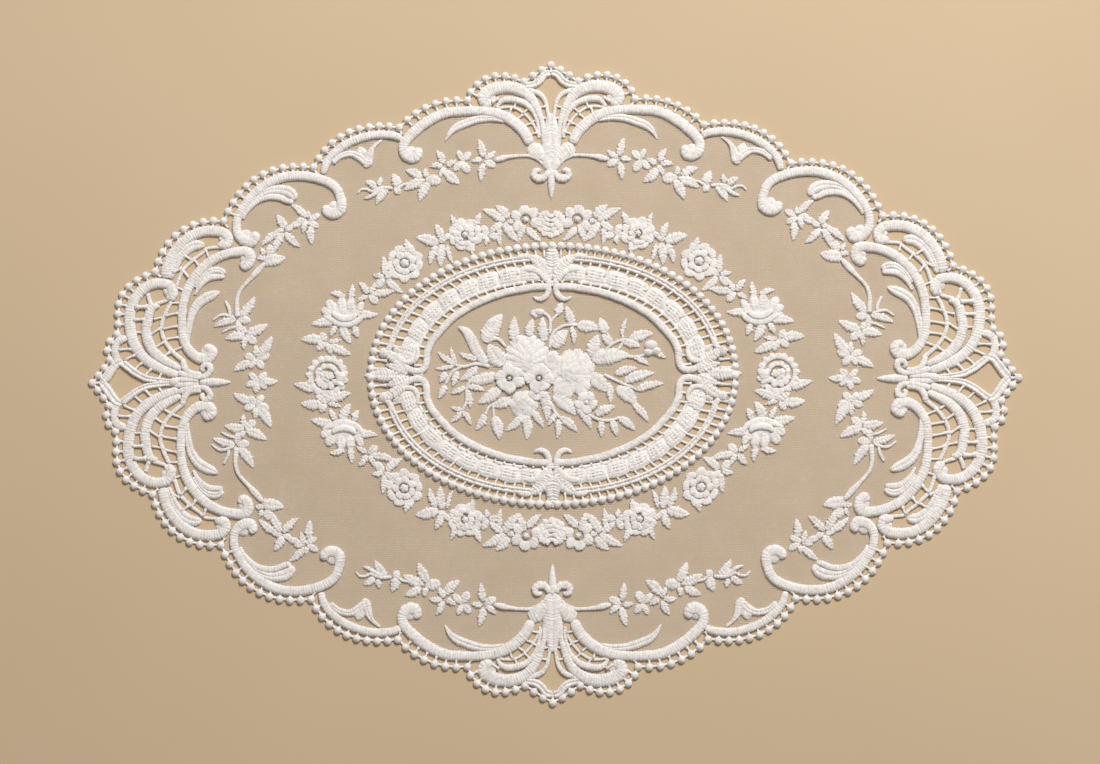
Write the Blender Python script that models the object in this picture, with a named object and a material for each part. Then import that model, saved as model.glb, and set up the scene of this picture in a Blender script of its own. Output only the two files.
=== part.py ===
"""A lace doily, about 16 by 11 inches: one flat sheet of embroidered net.

The sheet has the scalloped outline of its picot edge. The openings between the scrolls of the border,
and the four slots round the oval medallion, go right through it. The design is the same in all four
quarters, so every table gives the quarter with x and y above zero, in millimetres from the middle.
"""

import bpy
import numpy as np

MM = 0.001

LENGTH = 406.4
WIDTH = 281.4
THICKNESS = 2.0
PICOT_RADIUS = 1.5

NET_WHITE = (0.86, 0.83, 0.79, 1.0)
NET_ROUGHNESS = 0.9

# The edge, from the head on the Y axis to the tip on the X axis. A row is one scallop: the line through
# the middles of its picots is a cubic curve from this row's start to the next row's start, pulled
# towards the two handles. Columns: start, first handle, second handle, picots up to the next start.
HEAD_PICOT = (0.0, WIDTH / 2 - PICOT_RADIUS)
TIP_PICOT = (LENGTH / 2 - PICOT_RADIUS, 0.0)
SCALLOPS = [
    (HEAD_PICOT, (4.3, 137.3), (7.8, 134.7), 3),
    ((11.9, 131.9), (32.3, 142.0), (38.3, 121.8), 7),
    ((36.8, 123.8), (45.5, 124.9), (57.5, 122.6), 7),
    ((66.9, 112.1), (88.2, 115.4), (99.3, 105.9), 10),
    ((104.7, 94.7), (132.1, 98.9), (141.8, 83.6), 11),
    ((144.3, 71.1), (165.1, 73.4), (172.6, 57.6), 9),
    ((174.5, 48.9), (197.4, 41.1), (188.5, 28.0), 8),
    ((191.1, 21.4), (194.4, 19.4), (196.9, 14.9), 3),
    ((194.2, 10.0), (196.1, 6.7), (199.1, 3.4), 3),
]

# The openings of the border: the middle line of each, with its full width there.
# Columns along the line: x, y, width.
QUARTER_OPENINGS = {
    "fan": [(145.8, 58.3, 1.2), (150.6, 57.6, 3.2), (155.6, 55.4, 4.6), (160.0, 51.6, 6.6),
            (163.6, 47.4, 7.2), (163.5, 42.6, 4.4)],
    "moon": [(166.2, 34.8, 4.4), (168.5, 30.1, 8.2), (170.0, 25.1, 10.8), (169.5, 19.6, 10.6),
             (167.0, 14.8, 9.2), (163.6, 11.0, 5.6)],
    "hook eye": [(171.4, 37.6, 4.2), (174.0, 37.9, 5.8), (176.4, 37.8, 4.0)],
    "horn": [(179.2, 37.0, 2.2), (180.0, 34.0, 4.0), (181.2, 29.6, 3.4), (181.6, 24.6, 2.6),
             (181.2, 19.1, 1.4)],
    "roof": [(166.8, 2.2, 1.2), (170.4, 2.0, 1.8), (175.0, 3.0, 2.2), (180.0, 5.8, 3.2),
             (184.2, 9.5, 3.4), (186.8, 13.1, 3.8), (187.3, 15.7, 2.4)],
    "heart": [(154.1, 6.0, 4.2), (157.1, 7.3, 5.6), (159.6, 8.5, 3.2)],
    "frond": [(6.1, 106.7, 2.0), (8.3, 110.9, 3.4), (11.1, 115.3, 4.4), (14.8, 118.9, 3.8),
              (20.6, 121.0, 2.0)],
}
TIP_OPENING = [(177.4, 0.0, 0.8), (182.6, 0.0, 3.4), (186.1, 0.0, 7.2), (189.1, 0.0, 11.4),
               (191.1, 0.0, 8.0), (194.4, 0.0, 0.8)]
HEAD_OPENING = [(0.0, 118.2, 0.8), (0.0, 121.7, 1.8), (0.0, 124.8, 5.0), (0.0, 127.4, 10.5),
                (0.0, 129.0, 14.4), (0.0, 131.4, 6.0), (0.0, 133.6, 0.8)]

# The slots round the medallion lie between two ovals, |x/a|^n + |y/b|^n = 1, from where the inner one
# is SLOT_FROM_Y_AXIS off the Y axis to where it is SLOT_FROM_X_AXIS off the X axis.
MEDALLION_CENTRE = (0.3, 2.6)
OVAL_POWER = 2.15
BRAID_OUTER = (68.0, 48.0)
CORD_INNER = (72.0, 50.1)
SLOT_FROM_Y_AXIS = 11.5
SLOT_FROM_X_AXIS = 12.0
SLOT_STEPS = 14

# The four quarters, in order round the doily: the sign of x, the sign of y, and whether the mirror
# turns the direction of travel round.
QUARTERS = [(1, 1, False), (1, -1, True), (-1, -1, False), (-1, 1, True)]


def clear_scene():
    for old in list(bpy.data.objects):
        bpy.data.objects.remove(old, do_unlink=True)


def make_material(name, colour, roughness):
    material = bpy.data.materials.new(name)
    material.use_nodes = True
    shader = material.node_tree.nodes["Principled BSDF"]
    shader.inputs["Base Color"].default_value = colour
    shader.inputs["Roughness"].default_value = roughness
    shader.inputs["Metallic"].default_value = 0.0
    return material


def picot_line(start, first, second, end, picots):
    """Points along one scallop's cubic curve, one for each picot, without the end that starts the next."""
    t = (np.arange(picots) / picots)[:, None]
    weights = ((1 - t) ** 3, 3 * (1 - t) ** 2 * t, 3 * (1 - t) * t**2, t**3)
    return sum(w * np.array(p) for w, p in zip(weights, (start, first, second, end)))


def quarter_edge():
    """The outer edge of one quarter, from the Y axis to the X axis.

    Each point of the picot line moves outwards by a picot's radius, square to the line. In a notch
    between two scallops the moved points would cross, so those nearer to the line than a radius go.
    """
    ends = [row[0] for row in SCALLOPS[1:]] + [TIP_PICOT]
    scallops = [picot_line(row[0], row[1], row[2], end, row[3]) for row, end in zip(SCALLOPS, ends)]
    line = np.vstack(scallops + [np.array([TIP_PICOT])])
    along = np.gradient(line, axis=0)
    along[0] = (1.0, 0.0)
    along[-1] = (0.0, -1.0)
    outwards = np.stack([-along[:, 1], along[:, 0]], axis=1)
    outwards /= np.linalg.norm(outwards, axis=1, keepdims=True)
    edge = line + PICOT_RADIUS * outwards
    nearest = np.linalg.norm(edge[:, None] - line[None], axis=2).min(axis=1)
    return edge[nearest > 0.97 * PICOT_RADIUS]


def smooth_line(stations, steps=2):
    """A Catmull-Rom curve through the stations, with this many points from each to the next."""
    known = np.array(stations)
    padded = np.vstack([2 * known[0] - known[1], known, 2 * known[-1] - known[-2]])
    t = (np.arange(steps) / steps)[:, None]
    pieces = []
    for a, b, c, d in zip(padded, padded[1:], padded[2:], padded[3:]):
        pieces.append(b + 0.5 * t * (c - a + t * (2 * a - 5 * b + 4 * c - d + t * (3 * b - a - 3 * c + d))))
    return np.vstack(pieces + [known[-1:]])


def opening_outline(stations):
    """The closed outline of an opening: half its width to each side of its middle line."""
    line = smooth_line(stations)
    along = np.gradient(line[:, :2], axis=0)
    along /= np.linalg.norm(along, axis=1, keepdims=True)
    sideways = np.stack([-along[:, 1], along[:, 0]], axis=1) * line[:, 2:] / 2
    return np.vstack([line[:, :2] + sideways, (line[:, :2] - sideways)[::-1]])


def oval_arc(half_axes, off_y_axis, off_x_axis, steps):
    """A quarter oval's points, between the given distances from the axes, evenly in the oval's angle."""
    a, b = half_axes
    start = np.arcsin(np.clip(off_x_axis / b, 0, 1) ** (OVAL_POWER / 2))
    stop = np.arccos(np.clip(off_y_axis / a, 0, 1) ** (OVAL_POWER / 2))
    angle = np.linspace(start, stop, steps + 1)
    return np.stack([a * np.cos(angle) ** (2 / OVAL_POWER), b * np.sin(angle) ** (2 / OVAL_POWER)], axis=1)


def slot_outline():
    inner = oval_arc(BRAID_OUTER, SLOT_FROM_Y_AXIS, SLOT_FROM_X_AXIS, SLOT_STEPS)
    outer = oval_arc(CORD_INNER, SLOT_FROM_Y_AXIS, SLOT_FROM_X_AXIS, SLOT_STEPS)
    return np.vstack([inner, outer[::-1]])


def mirrored(points, sign_x, sign_y):
    return points * np.array([sign_x, sign_y])


def sheet_outlines():
    """The outer edge, then one outline for each opening."""
    quarter = quarter_edge()
    edge = []
    for sign_x, sign_y, backwards in QUARTERS:
        side = mirrored(quarter, sign_x, sign_y)
        edge.append(side[::-1][:-1] if backwards else side[:-1])
    outlines = [np.vstack(edge)]
    for sign_x, sign_y, _ in QUARTERS:
        for stations in QUARTER_OPENINGS.values():
            outlines.append(mirrored(opening_outline(stations), sign_x, sign_y))
        outlines.append(mirrored(slot_outline(), sign_x, sign_y) + np.array(MEDALLION_CENTRE))
    for sign in (1, -1):
        outlines.append(mirrored(opening_outline(TIP_OPENING), sign, 1))
        outlines.append(mirrored(opening_outline(HEAD_OPENING), 1, sign))
    return outlines


def make_sheet(name, outlines, thickness, material, collection):
    """A flat sheet that stands on z = 0: a 2D curve filled between its outer edge and its openings."""
    curve = bpy.data.curves.new(name, "CURVE")
    curve.dimensions = "2D"
    curve.fill_mode = "BOTH"
    curve.extrude = thickness / 2 * MM
    for outline in outlines:
        spline = curve.splines.new("POLY")
        spline.points.add(len(outline) - 1)
        rows = np.zeros((len(outline), 4))
        rows[:, :2] = outline * MM
        rows[:, 3] = 1.0
        spline.points.foreach_set("co", rows.ravel())
        spline.use_cyclic_u = True
    curve.materials.append(material)
    sheet = bpy.data.objects.new(name, curve)
    sheet.location.z = thickness / 2 * MM
    collection.objects.link(sheet)
    return sheet


def main():
    clear_scene()
    collection = bpy.data.collections.new("Lace doily")
    bpy.context.scene.collection.children.link(collection)
    net_cotton = make_material("net cotton", NET_WHITE, NET_ROUGHNESS)
    make_sheet("doily", sheet_outlines(), THICKNESS, net_cotton, collection)


main()
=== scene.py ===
"""The looks of the lace doily: white satin stitch on fine net, laid flat on a pale table.

Everything stands on z = 0, in the frame of the CAD sheet that the net replaces. Tables are in millimetres
from the middle of the doily. A table whose name starts with QUARTER holds the quarter with x and y above
zero; the other three quarters are its mirror images. One that starts with HALF has one mirror image.
The head is the middle of a long side of the doily, on the Y axis, and the tip is its end on the X axis.
"""

import math
from functools import partial

import bpy
import numpy as np
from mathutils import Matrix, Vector


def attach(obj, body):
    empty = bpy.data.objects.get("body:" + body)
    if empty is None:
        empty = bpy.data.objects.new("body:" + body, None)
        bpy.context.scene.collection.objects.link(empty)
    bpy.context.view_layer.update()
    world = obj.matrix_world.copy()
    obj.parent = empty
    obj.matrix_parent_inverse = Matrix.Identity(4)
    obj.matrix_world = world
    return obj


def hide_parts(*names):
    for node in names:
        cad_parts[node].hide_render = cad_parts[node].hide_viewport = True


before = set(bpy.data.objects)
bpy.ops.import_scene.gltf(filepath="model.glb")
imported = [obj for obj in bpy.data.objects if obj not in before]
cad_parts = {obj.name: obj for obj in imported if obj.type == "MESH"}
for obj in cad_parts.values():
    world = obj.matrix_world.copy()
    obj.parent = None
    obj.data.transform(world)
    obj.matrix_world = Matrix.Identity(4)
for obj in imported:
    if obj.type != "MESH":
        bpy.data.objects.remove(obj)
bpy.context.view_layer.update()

MM = 0.001

# How the embroidery is built up, in millimetres. A foot is the height that a form stands on.
FOOT = 0.05
LOW_FOOT = 0.1
BAR_FOOT = 0.35
HIGH_FOOT = 0.5
STEM_HEIGHT = 1.2
BAND_HEIGHT = 1.3
SLIM_HEIGHT = 1.4
OVAL_CORD_HEIGHT = 1.5
LIMB_HEIGHT = 1.6
CORD_HEIGHT = 1.7
LEAF_HEIGHT = 1.15
PETAL_HEIGHT = 1.2
FLOWER_PETAL_HEIGHT = 1.0
BALL_HEIGHT = 1.7
BUD_HEIGHT = 1.8
CURL_PAD_HEIGHT = 1.15
BRAID_HEIGHT = 1.25
PICOT_HEIGHT = 1.9
OVAL_BEAD_HEIGHT = 2.1
BAR_BEND = 0.03
BAR_FLARE = 1.7
TIE_WIDTH = 1.1
THREAD_WIDTH = 1.2

# The points of a form are a STEP apart along its line, and its stitches have these pitches.
STEP = 0.4
SCROLL_STEP = 0.36
BRAID_STEP = 0.33
LEAF_STITCH = 1.3
CORD_STITCH = 1.15
LEAF_TEETH = 0.24
# The sines that shift the stitches along: size, rate a millimetre and start, in radians.
WANDER = [(0.9, 0.9, 0), (0.6, 2.3, 1)]
# The sines that make the edges of cords and leaves uneven, as a share of their teeth: likewise, with the
# start of the left edge. The right edge has the opposite one.
EDGE_WAVES = [(1, 2.9, 2.2), (0.6, 1.3, -1.7)]
UNEVEN_EDGE = 0.9

# Mirror images: the signs of x and y.
QUARTERS = [(1, 1), (1, -1), (-1, -1), (-1, 1)]
RIGHT_LEFT = [(1, 1), (-1, 1)]
UP_DOWN = [(1, 1), (1, -1)]

# The net, and the arches and points of the border that it reaches to.
NET_HEIGHT = 0.3
NET_WAVE = 0.12
NET_CELL = 1.1
NET_COLUMNS = 720
NET_RING_ROWS = 13
NET_DISC_ROWS = 12
NET_EDGE_SCROLLS = ("top arch", "shoulder", "corner arch", "side arch")
NET_EDGE_ENDS = [(0, 101), (5, 102.5), (154.5, 0), (153.5, 7)]

# -------- the scrolls of the border

# Each scroll is a padded cord: x, y, width along it.
QUARTER_SCROLLS = {
    "frond": [(3.5, 105.6, 1.6), (3.7, 111.6, 2.2), (4.9, 116.6, 3), (7, 121.6, 4), (9.6, 125.4, 4.6),
        (13.6, 128.3, 5.2), (18.6, 129.6, 5.6), (23.6, 129.2, 5.8), (27.6, 127.6, 6.2), (29.6, 125, 6.2),
        (28.4, 122.8, 5.4), (26, 123.2, 4.4)],
    "inner frond": [(5.2, 107.6, 1.6), (5.6, 111.6, 1.6), (6.9, 116.6, 2), (9.6, 120.6, 2.6),
        (13.1, 123, 3), (18.6, 124.1, 3), (21.6, 123.4, 2.6), (23.4, 121.4, 1.8), (23.4, 119.9, 1.6)],
    "top arch": [(9.4, 103.8, 4.6), (10.6, 107.4, 5), (12.8, 110.6, 5.2), (16.2, 113.8, 5.2),
        (20.1, 116.3, 5), (24.6, 118, 4.8), (29.6, 118.9, 4.4), (34.6, 119.2, 4.2), (40.1, 119, 4.4),
        (45.6, 118.5, 4.6), (50.1, 117, 4.8), (54.1, 114.8, 5), (57.6, 112.4, 5), (60.6, 109.8, 5),
        (63.1, 107.3, 4.8), (64.8, 104.8, 4.6), (65, 102, 4.8), (63.4, 99.4, 5.4), (60.4, 98.8, 5.6),
        (58.8, 100.8, 5), (60.2, 102.6, 3.4)],
    "shoulder": [(65.7, 106.9, 3.4), (68.4, 108.2, 3.6), (72.6, 108.9, 3.8), (77.4, 108.9, 3.8),
        (82.2, 108, 3.8), (87, 106.4, 3.8), (91.2, 104.3, 3.8), (94.8, 101.6, 3.8), (97.8, 98.4, 3.8),
        (99.6, 95, 3.6), (100.4, 91.6, 3.2)],
    "corner arch": [(98.6, 77.8, 3.4), (98.8, 75.4, 4.8), (96, 74, 5.2), (93, 75.2, 5.2), (92.2, 78.4, 4.8),
        (92.9, 81.6, 4.4), (93.9, 84.2, 4.4), (96.4, 86.9, 4.4), (100.6, 89, 4.4), (105.6, 90.4, 4.4),
        (110.4, 91, 4.4), (115.2, 90.9, 4.4), (120, 89.9, 4.4), (125, 87.6, 4.4), (129, 84.8, 4.4),
        (132.5, 81.4, 4.4), (135.5, 77.4, 4.2), (137.8, 73.1, 4), (138.6, 69.1, 4), (137.9, 65.4, 4.4),
        (135.4, 62.7, 5), (132, 61.9, 5.2), (130.4, 64, 4.8), (132, 65.6, 3.4)],
    "outer corner": [(146.6, 61.6, 3.4), (145.4, 60.8, 4), (143, 61, 4.8), (142.2, 63.4, 4.8),
        (143.8, 65.6, 4.8), (146.2, 66.5, 4.8), (150.4, 66.8, 4.8), (154.8, 66.2, 4.8), (158.9, 64.4, 4.9),
        (162.6, 61.5, 5), (165.8, 57.8, 5), (168, 54, 5), (169.3, 50.2, 5), (169.9, 46, 4.8)],
    "side arch": [(135.8, 53.6, 3.6), (134.8, 51.6, 5), (132.8, 53, 5.2), (132.8, 56, 5.4),
        (135, 57.6, 4.8), (141.5, 56.9, 4.4), (146, 55.4, 4.4), (150, 53.3, 4.6), (153.3, 50.5, 4.6),
        (156.4, 47, 4.6), (159.1, 42.8, 4.6), (160.9, 38.4, 4.4), (161.9, 33.6, 4.2), (162.3, 28.6, 4),
        (162.3, 23.6, 4), (161.6, 19.1, 4.2), (159.8, 15.2, 4.4), (157.2, 12.2, 4.6), (153.8, 10.5, 5),
        (150.4, 10.8, 5.4), (148.8, 13.2, 5), (150.6, 15, 4.2), (152.4, 14.2, 3)],
    "tip arch": [(169.2, 38.4, 3.4), (167.6, 37.8, 4.8), (166.4, 39.8, 4.8), (168, 42.6, 4.6),
        (171, 43.7, 4.6), (175.1, 43.5, 4.8), (179, 41.6, 4.8), (182.2, 38.5, 5), (184.4, 34.5, 5),
        (185.4, 30, 5.2), (185.3, 25.2, 5.2), (184.5, 20.4, 5.2), (182.8, 16, 5), (180.2, 12.2, 4.8),
        (176.6, 9, 4.8), (172.4, 6.6, 4.6), (168, 4.8, 4.2), (163.6, 3.2, 3.6)],
    "crescent": [(172.2, 33.8, 1.6), (175, 33.2, 3.6), (176.8, 30.6, 4.2), (177.5, 27, 4.6),
        (178.1, 23.2, 4.6), (177.4, 19, 4.8), (175.6, 15, 4.8), (172.6, 11.6, 4.6), (169, 9.1, 4.2),
        (165.2, 7.2, 3.4), (162.4, 5.8, 2.4)],
}

# The low pads that fill the curled ends of the scrolls: x, y, radius.
QUARTER_CURL_PADS = [(27.4, 125, 3.2), (61.8, 101.2, 2.6), (95.6, 77.2, 2.6), (134.4, 64.8, 2.6),
    (144.6, 63.4, 2), (134.8, 54.2, 2.2), (151.6, 13.4, 2.4), (168.6, 40.2, 2.4)]

# The cords round the star-shaped openings, with a shallow furrow along the middle: x, y, width.
QUARTER_STAR_CORDS = [
    [(0, 135.9, 3.4), (2.9, 134.8, 3.5), (5, 132.2, 3.5), (7.7, 130.6, 3.4), (11.8, 129.9, 2.8)],
    [(164.6, 0.6, 1.8), (169.6, 0.7, 2.2), (172.8, 1, 2.6), (177.5, 1.7, 3), (181.9, 3.8, 3.3),
     (185.6, 6.5, 3.5), (188.6, 9, 3.6)],
    [(188.2, 9.4, 3.4), (191, 8.2, 3.8), (193.3, 5.4, 4.2), (195.2, 2.7, 4.4), (196.9, 0.8, 4), (198, 0, 3)],
]

# Plain cords, thinner than the scrolls: x, y, width.
QUARTER_SLIM_CORDS = [
    [(1.1, 110.6, 1.7), (1.4, 117.6, 1.7), (2.6, 123.3, 2.1), (5.1, 126.5, 2.4), (9.1, 128, 2.4),
     (11.1, 129.3, 2.1)],
    [(5.4, 106.6, 1.3), (5.8, 108.8, 1.3), (8.3, 113.6, 1.3), (11.8, 117.6, 1.3), (16.1, 120.3, 1.3),
     (20.6, 120.6, 1.3), (23.4, 120, 1.4)],
    [(145, 59.6, 1.4), (151.2, 59.1, 1.5), (153.6, 57, 1.5), (157.2, 54.4, 1.8), (159.3, 52.4, 1.8),
     (161.9, 49.8, 1.9), (163.5, 46.6, 1.9), (164.5, 43.5, 1.9), (165.4, 40.6, 1.8)],
    [(167.1, 35.8, 1.8), (168.7, 32.6, 2), (170, 29.5, 2), (171.2, 25.8, 2), (171.1, 21.7, 2),
     (169.7, 18, 2), (167.6, 14.9, 2), (165, 12.3, 2.1), (162.4, 10.2, 2.1), (160.9, 9, 2.1)],
    [(168.4, 36.4, 1.7), (171.6, 35.3, 1.8), (174.8, 34.5, 1.9)],
    [(177.6, 39.4, 2), (176.9, 36.6, 2), (175.8, 34, 2.2)],
    [(186.2, 19.6, 3.1), (189, 19, 3.6), (191.2, 17.2, 3.6), (191.7, 14, 3.6), (191, 10.8, 3.6),
     (189.2, 8.6, 3.1)],
]

# Single wrapped bars of the ladders: x and y of each end, width.
QUARTER_BARS = [(0.7, 115.2, 3.6, 115.6, 1), (2.2, 120.8, 6, 119.9, 1), (5.6, 115, 9, 113.6, 1),
    (9.4, 120.4, 12.4, 117.6, 1), (15.3, 123, 16.3, 119.8, 1.1), (5.8, 109.2, 10.4, 108, 1),
    (8.4, 113.4, 12.8, 111.8, 1), (12.3, 117.2, 15.6, 114.6, 1), (17.4, 120.4, 18.4, 116.4, 1),
    (23, 124.6, 26, 122.6, 1.4), (151, 55.2, 152.2, 58.6, 1.1), (155.2, 51.2, 157.6, 54.6, 1.2),
    (159.4, 46, 162.4, 49.4, 1.3), (161.2, 40.4, 165, 41.8, 1.1), (158.4, 53.8, 161.6, 56, 1.2),
    (162.4, 50.4, 166.4, 48.4, 1.3), (163, 34.9, 168.2, 34.8, 1), (163.4, 30.6, 170, 29.2, 1.1),
    (163.6, 24.8, 171, 23.4, 1.1), (162.6, 19.9, 170.4, 18.7, 1.1), (160.4, 16, 167.4, 13.3, 1.1),
    (170, 28.7, 174.8, 27.8, 1), (171, 24.3, 176.8, 20.4, 1.2), (169.2, 18.3, 174.4, 14.9, 1.2),
    (167.2, 13.4, 171.2, 10.6, 1.2), (177.2, 33.2, 182.8, 33.2, 2), (178.6, 27.7, 183.6, 27.7, 1.5),
    (179.2, 22, 183.4, 22, 1.1), (184, 14.7, 190.4, 14.4, 1.1), (182.6, 12.2, 187.6, 9.8, 1.1),
    (179.4, 9, 183.6, 5, 1.1), (175.2, 6.4, 178.6, 2.6, 1.3), (170.8, 4.4, 172.6, 1, 1.2)]

# Feathers and leaves that grow on the scrolls: x, y, width.
QUARTER_FEATHERS = [
    [(20.6, 114.4, 1.8), (25.6, 115.6, 3), (31.6, 115.4, 3.6), (37.2, 113.8, 4), (41.5, 112, 3.8),
     (44.3, 109.6, 2.6), (46.8, 105.6, 0.6)],
    [(3.8, 95, 1.2), (5.6, 97.2, 1.6), (9.6, 98.9, 1.6), (14.6, 98.9, 1.6), (18.6, 98.5, 2),
     (22, 97.8, 2.9), (25.4, 97, 1.6)],
    [(74.6, 106.6, 1.2), (77.4, 104.4, 1.7), (79.1, 102.2, 2.7), (80.1, 99.4, 4), (80.8, 97, 4.6),
     (81.1, 95.2, 4), (81, 94.2, 2.4)],
    [(81.6, 95.6, 2.4), (83, 97.8, 3.8), (85, 99.4, 3.8), (87.8, 100.5, 3.2), (90.8, 100.2, 3),
     (93.6, 98.9, 2.8), (96.4, 96.2, 2.2)],
    [(112.9, 80, 3), (113.8, 82.4, 4.4), (116, 84, 5.2), (119.5, 84.8, 4.6), (123.6, 84.6, 3.8),
     (127.8, 82.9, 3.4), (131.5, 80.2, 2.8), (134.4, 77, 2)],
    [(113.6, 79.2, 2.4), (116.7, 80, 2.8), (120, 81.4, 3), (124.5, 81.6, 3), (128.5, 80.4, 2.8),
     (132, 77.8, 2.6), (134.8, 74.2, 2), (135.8, 71.8, 1.4)],
    [(152.8, 60.2, 2.4), (154.8, 60.6, 4.2), (157.6, 60.3, 4.9), (160.6, 58.6, 4.8), (163.3, 55.6, 4.4),
     (165.3, 52, 3.8), (166.8, 48.4, 3.2), (167.6, 45.8, 2.4)],
    [(143.4, 47.6, 2.4), (145.8, 49.2, 3.2), (149, 49.2, 3.3), (151.8, 47.6, 3), (154.2, 45, 2.6),
     (156.6, 41.4, 1.8)],
    [(143.6, 46.6, 2.2), (147, 46.5, 2.8), (150, 46.1, 3), (152.4, 44.5, 2.7), (154.6, 42.2, 2.1),
     (156.8, 38.4, 1.4)],
    [(145.8, 39.9, 1), (148, 38.8, 3.6), (151.3, 37.4, 4.8), (154.4, 35.4, 4.6), (156.9, 32.2, 4.2),
     (158.4, 28.4, 3.6), (159.3, 23.6, 3), (159.7, 19.6, 2.4), (159.6, 16.4, 1.6)],
]

# Feathers that are broader than this somewhere have a crease along their middle.
BROAD_FEATHER = 3
# A leaf on the crest of the shoulder: from, to, width.
QUARTER_FEATHER_CREST = (83, 98.6, 84.4, 103.9, 5.2)

# The palmettes at the foot of the head and of the tip: curled volutes and ribbed limbs (x, y, width),
# spindles (from, to, width) and a knob (x, y, length, width, height).
QUARTER_VOLUTES = [
    [(1.4, 92.4, 2.4), (2.1, 90.3, 3), (3.9, 88.9, 3.6), (6, 88.9, 3.7), (7.5, 90.2, 3.4), (7.2, 91.9, 3),
     (5.8, 92.4, 2.4), (4.8, 91.6, 1.6)],
    [(154.2, 1.9, 2.4), (151.6, 2.8, 2.8), (149.8, 4.5, 2.9), (149.7, 6.6, 3), (151.2, 7.8, 3),
     (152.8, 7.1, 2.6), (153, 5.6, 2.1), (152.1, 5, 1.6)],
]
HEAD_SPINDLE = (0, 92.8, 0, 79.8, 3.5)
TIP_SPINDLE = (154, 0, 140.6, 0, 3.9)
HEAD_TRUNK = [(0, 92, 5.6), (0, 93.8, 8.2), (0, 97, 8.8), (0, 100.6, 8.2), (0, 104.4, 8.8), (0, 108.4, 9.6),
    (0, 112.4, 6.4), (0, 117.6, 3.2)]
HEAD_EAR = [(2.2, 97, 3.4), (4.8, 99.4, 6), (7.6, 101.4, 7.8), (10.2, 102.6, 6.6)]
TIP_LIMBS = [
    [(153.4, 3.8, 2.2), (156.6, 3.6, 2.8), (159.6, 4.8, 3), (161.2, 7.4, 3), (161.6, 10.4, 2.4)],
    [(152.6, 2.2, 1.8), (156.4, 2.4, 2.8), (160.4, 3.2, 3.2), (164, 4.4, 2.6)],
    [(154.6, 0.9, 1.8), (158.6, 1, 2.6), (162.4, 1.2, 2.8), (166, 0.9, 2.4)],
]
TIP_KNOB = (165.4, 0.2, 5.4, 4.2, 2)

# -------- the picot edge

PICOT_RADIUS = 1.9
HEAD_PICOT = (0, 139.2)
TIP_PICOT = (201.7, 0)
# Each scallop's row: start, first handle, second handle, picots up to the next start.
SCALLOPS = [
    (HEAD_PICOT, (4.3, 137.3), (7.8, 134.7), 3),
    ((11.9, 131.9), (32.3, 142), (38.3, 121.8), 7),
    ((36.8, 123.8), (45.5, 124.9), (57.5, 122.6), 7),
    ((66.9, 112.1), (88.2, 115.4), (99.3, 105.9), 10),
    ((104.7, 94.7), (131.4, 98.2), (140, 81.4), 11),
    ((144.3, 71.1), (165.1, 73.4), (172.6, 57.6), 9),
    ((174.5, 48.9), (197.4, 41.1), (188.5, 28), 8),
    ((191.1, 21.4), (194.4, 19.4), (196.9, 14.9), 3),
    ((194.2, 10), (196.1, 6.7), (199.1, 3.4), 3),
]
# How far inwards a picot's tie starts and ends, and how far inwards the joining thread lies.
PICOT_TIE_START = 0.8
PICOT_TIE_END = 3.6
PICOT_THREAD_INSET = 0.35

# -------- the sprigs on the net

# The stems: x, y, width.
QUARTER_SPRIG_STEMS = [
    [(125.8, 52.6, 1.4), (127.9, 50.2, 2.8), (130, 47.9, 3), (132.2, 45.5, 2.1), (134.6, 43, 1.8),
     (136.6, 40.6, 1.8), (137.7, 38, 1.9), (138.2, 35, 2.1), (138.1, 31.8, 2.4), (137.9, 28.4, 2.6)],
    [(139, 28, 1.4), (141.6, 29.2, 1.6), (145.2, 29.6, 1.4), (148.8, 27.2, 0.9)],
    [(141.2, 28.8, 1.2), (141.5, 32, 1.7), (143.4, 36, 1.2)],
    [(138, 24.4, 1.2), (141.2, 23.6, 1.3), (144.8, 21.8, 0.8)],
    [(55.6, 88.6, 1.4), (60, 87.4, 1.2), (65, 86.6, 1.4), (68, 84.2, 1.4)],
    [(69.6, 85, 1.4), (73.2, 85.3, 1.8), (76.2, 84.7, 1.9), (78.8, 83.7, 1.5), (81.2, 84.7, 1.3),
     (83.6, 84.6, 1.2), (85.3, 82.8, 0.8)],
    [(73.6, 84.8, 1.6), (76.2, 83.6, 2.1), (78.6, 82, 2), (80.6, 81, 1.6), (82.4, 80.6, 0.9)],
]

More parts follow.
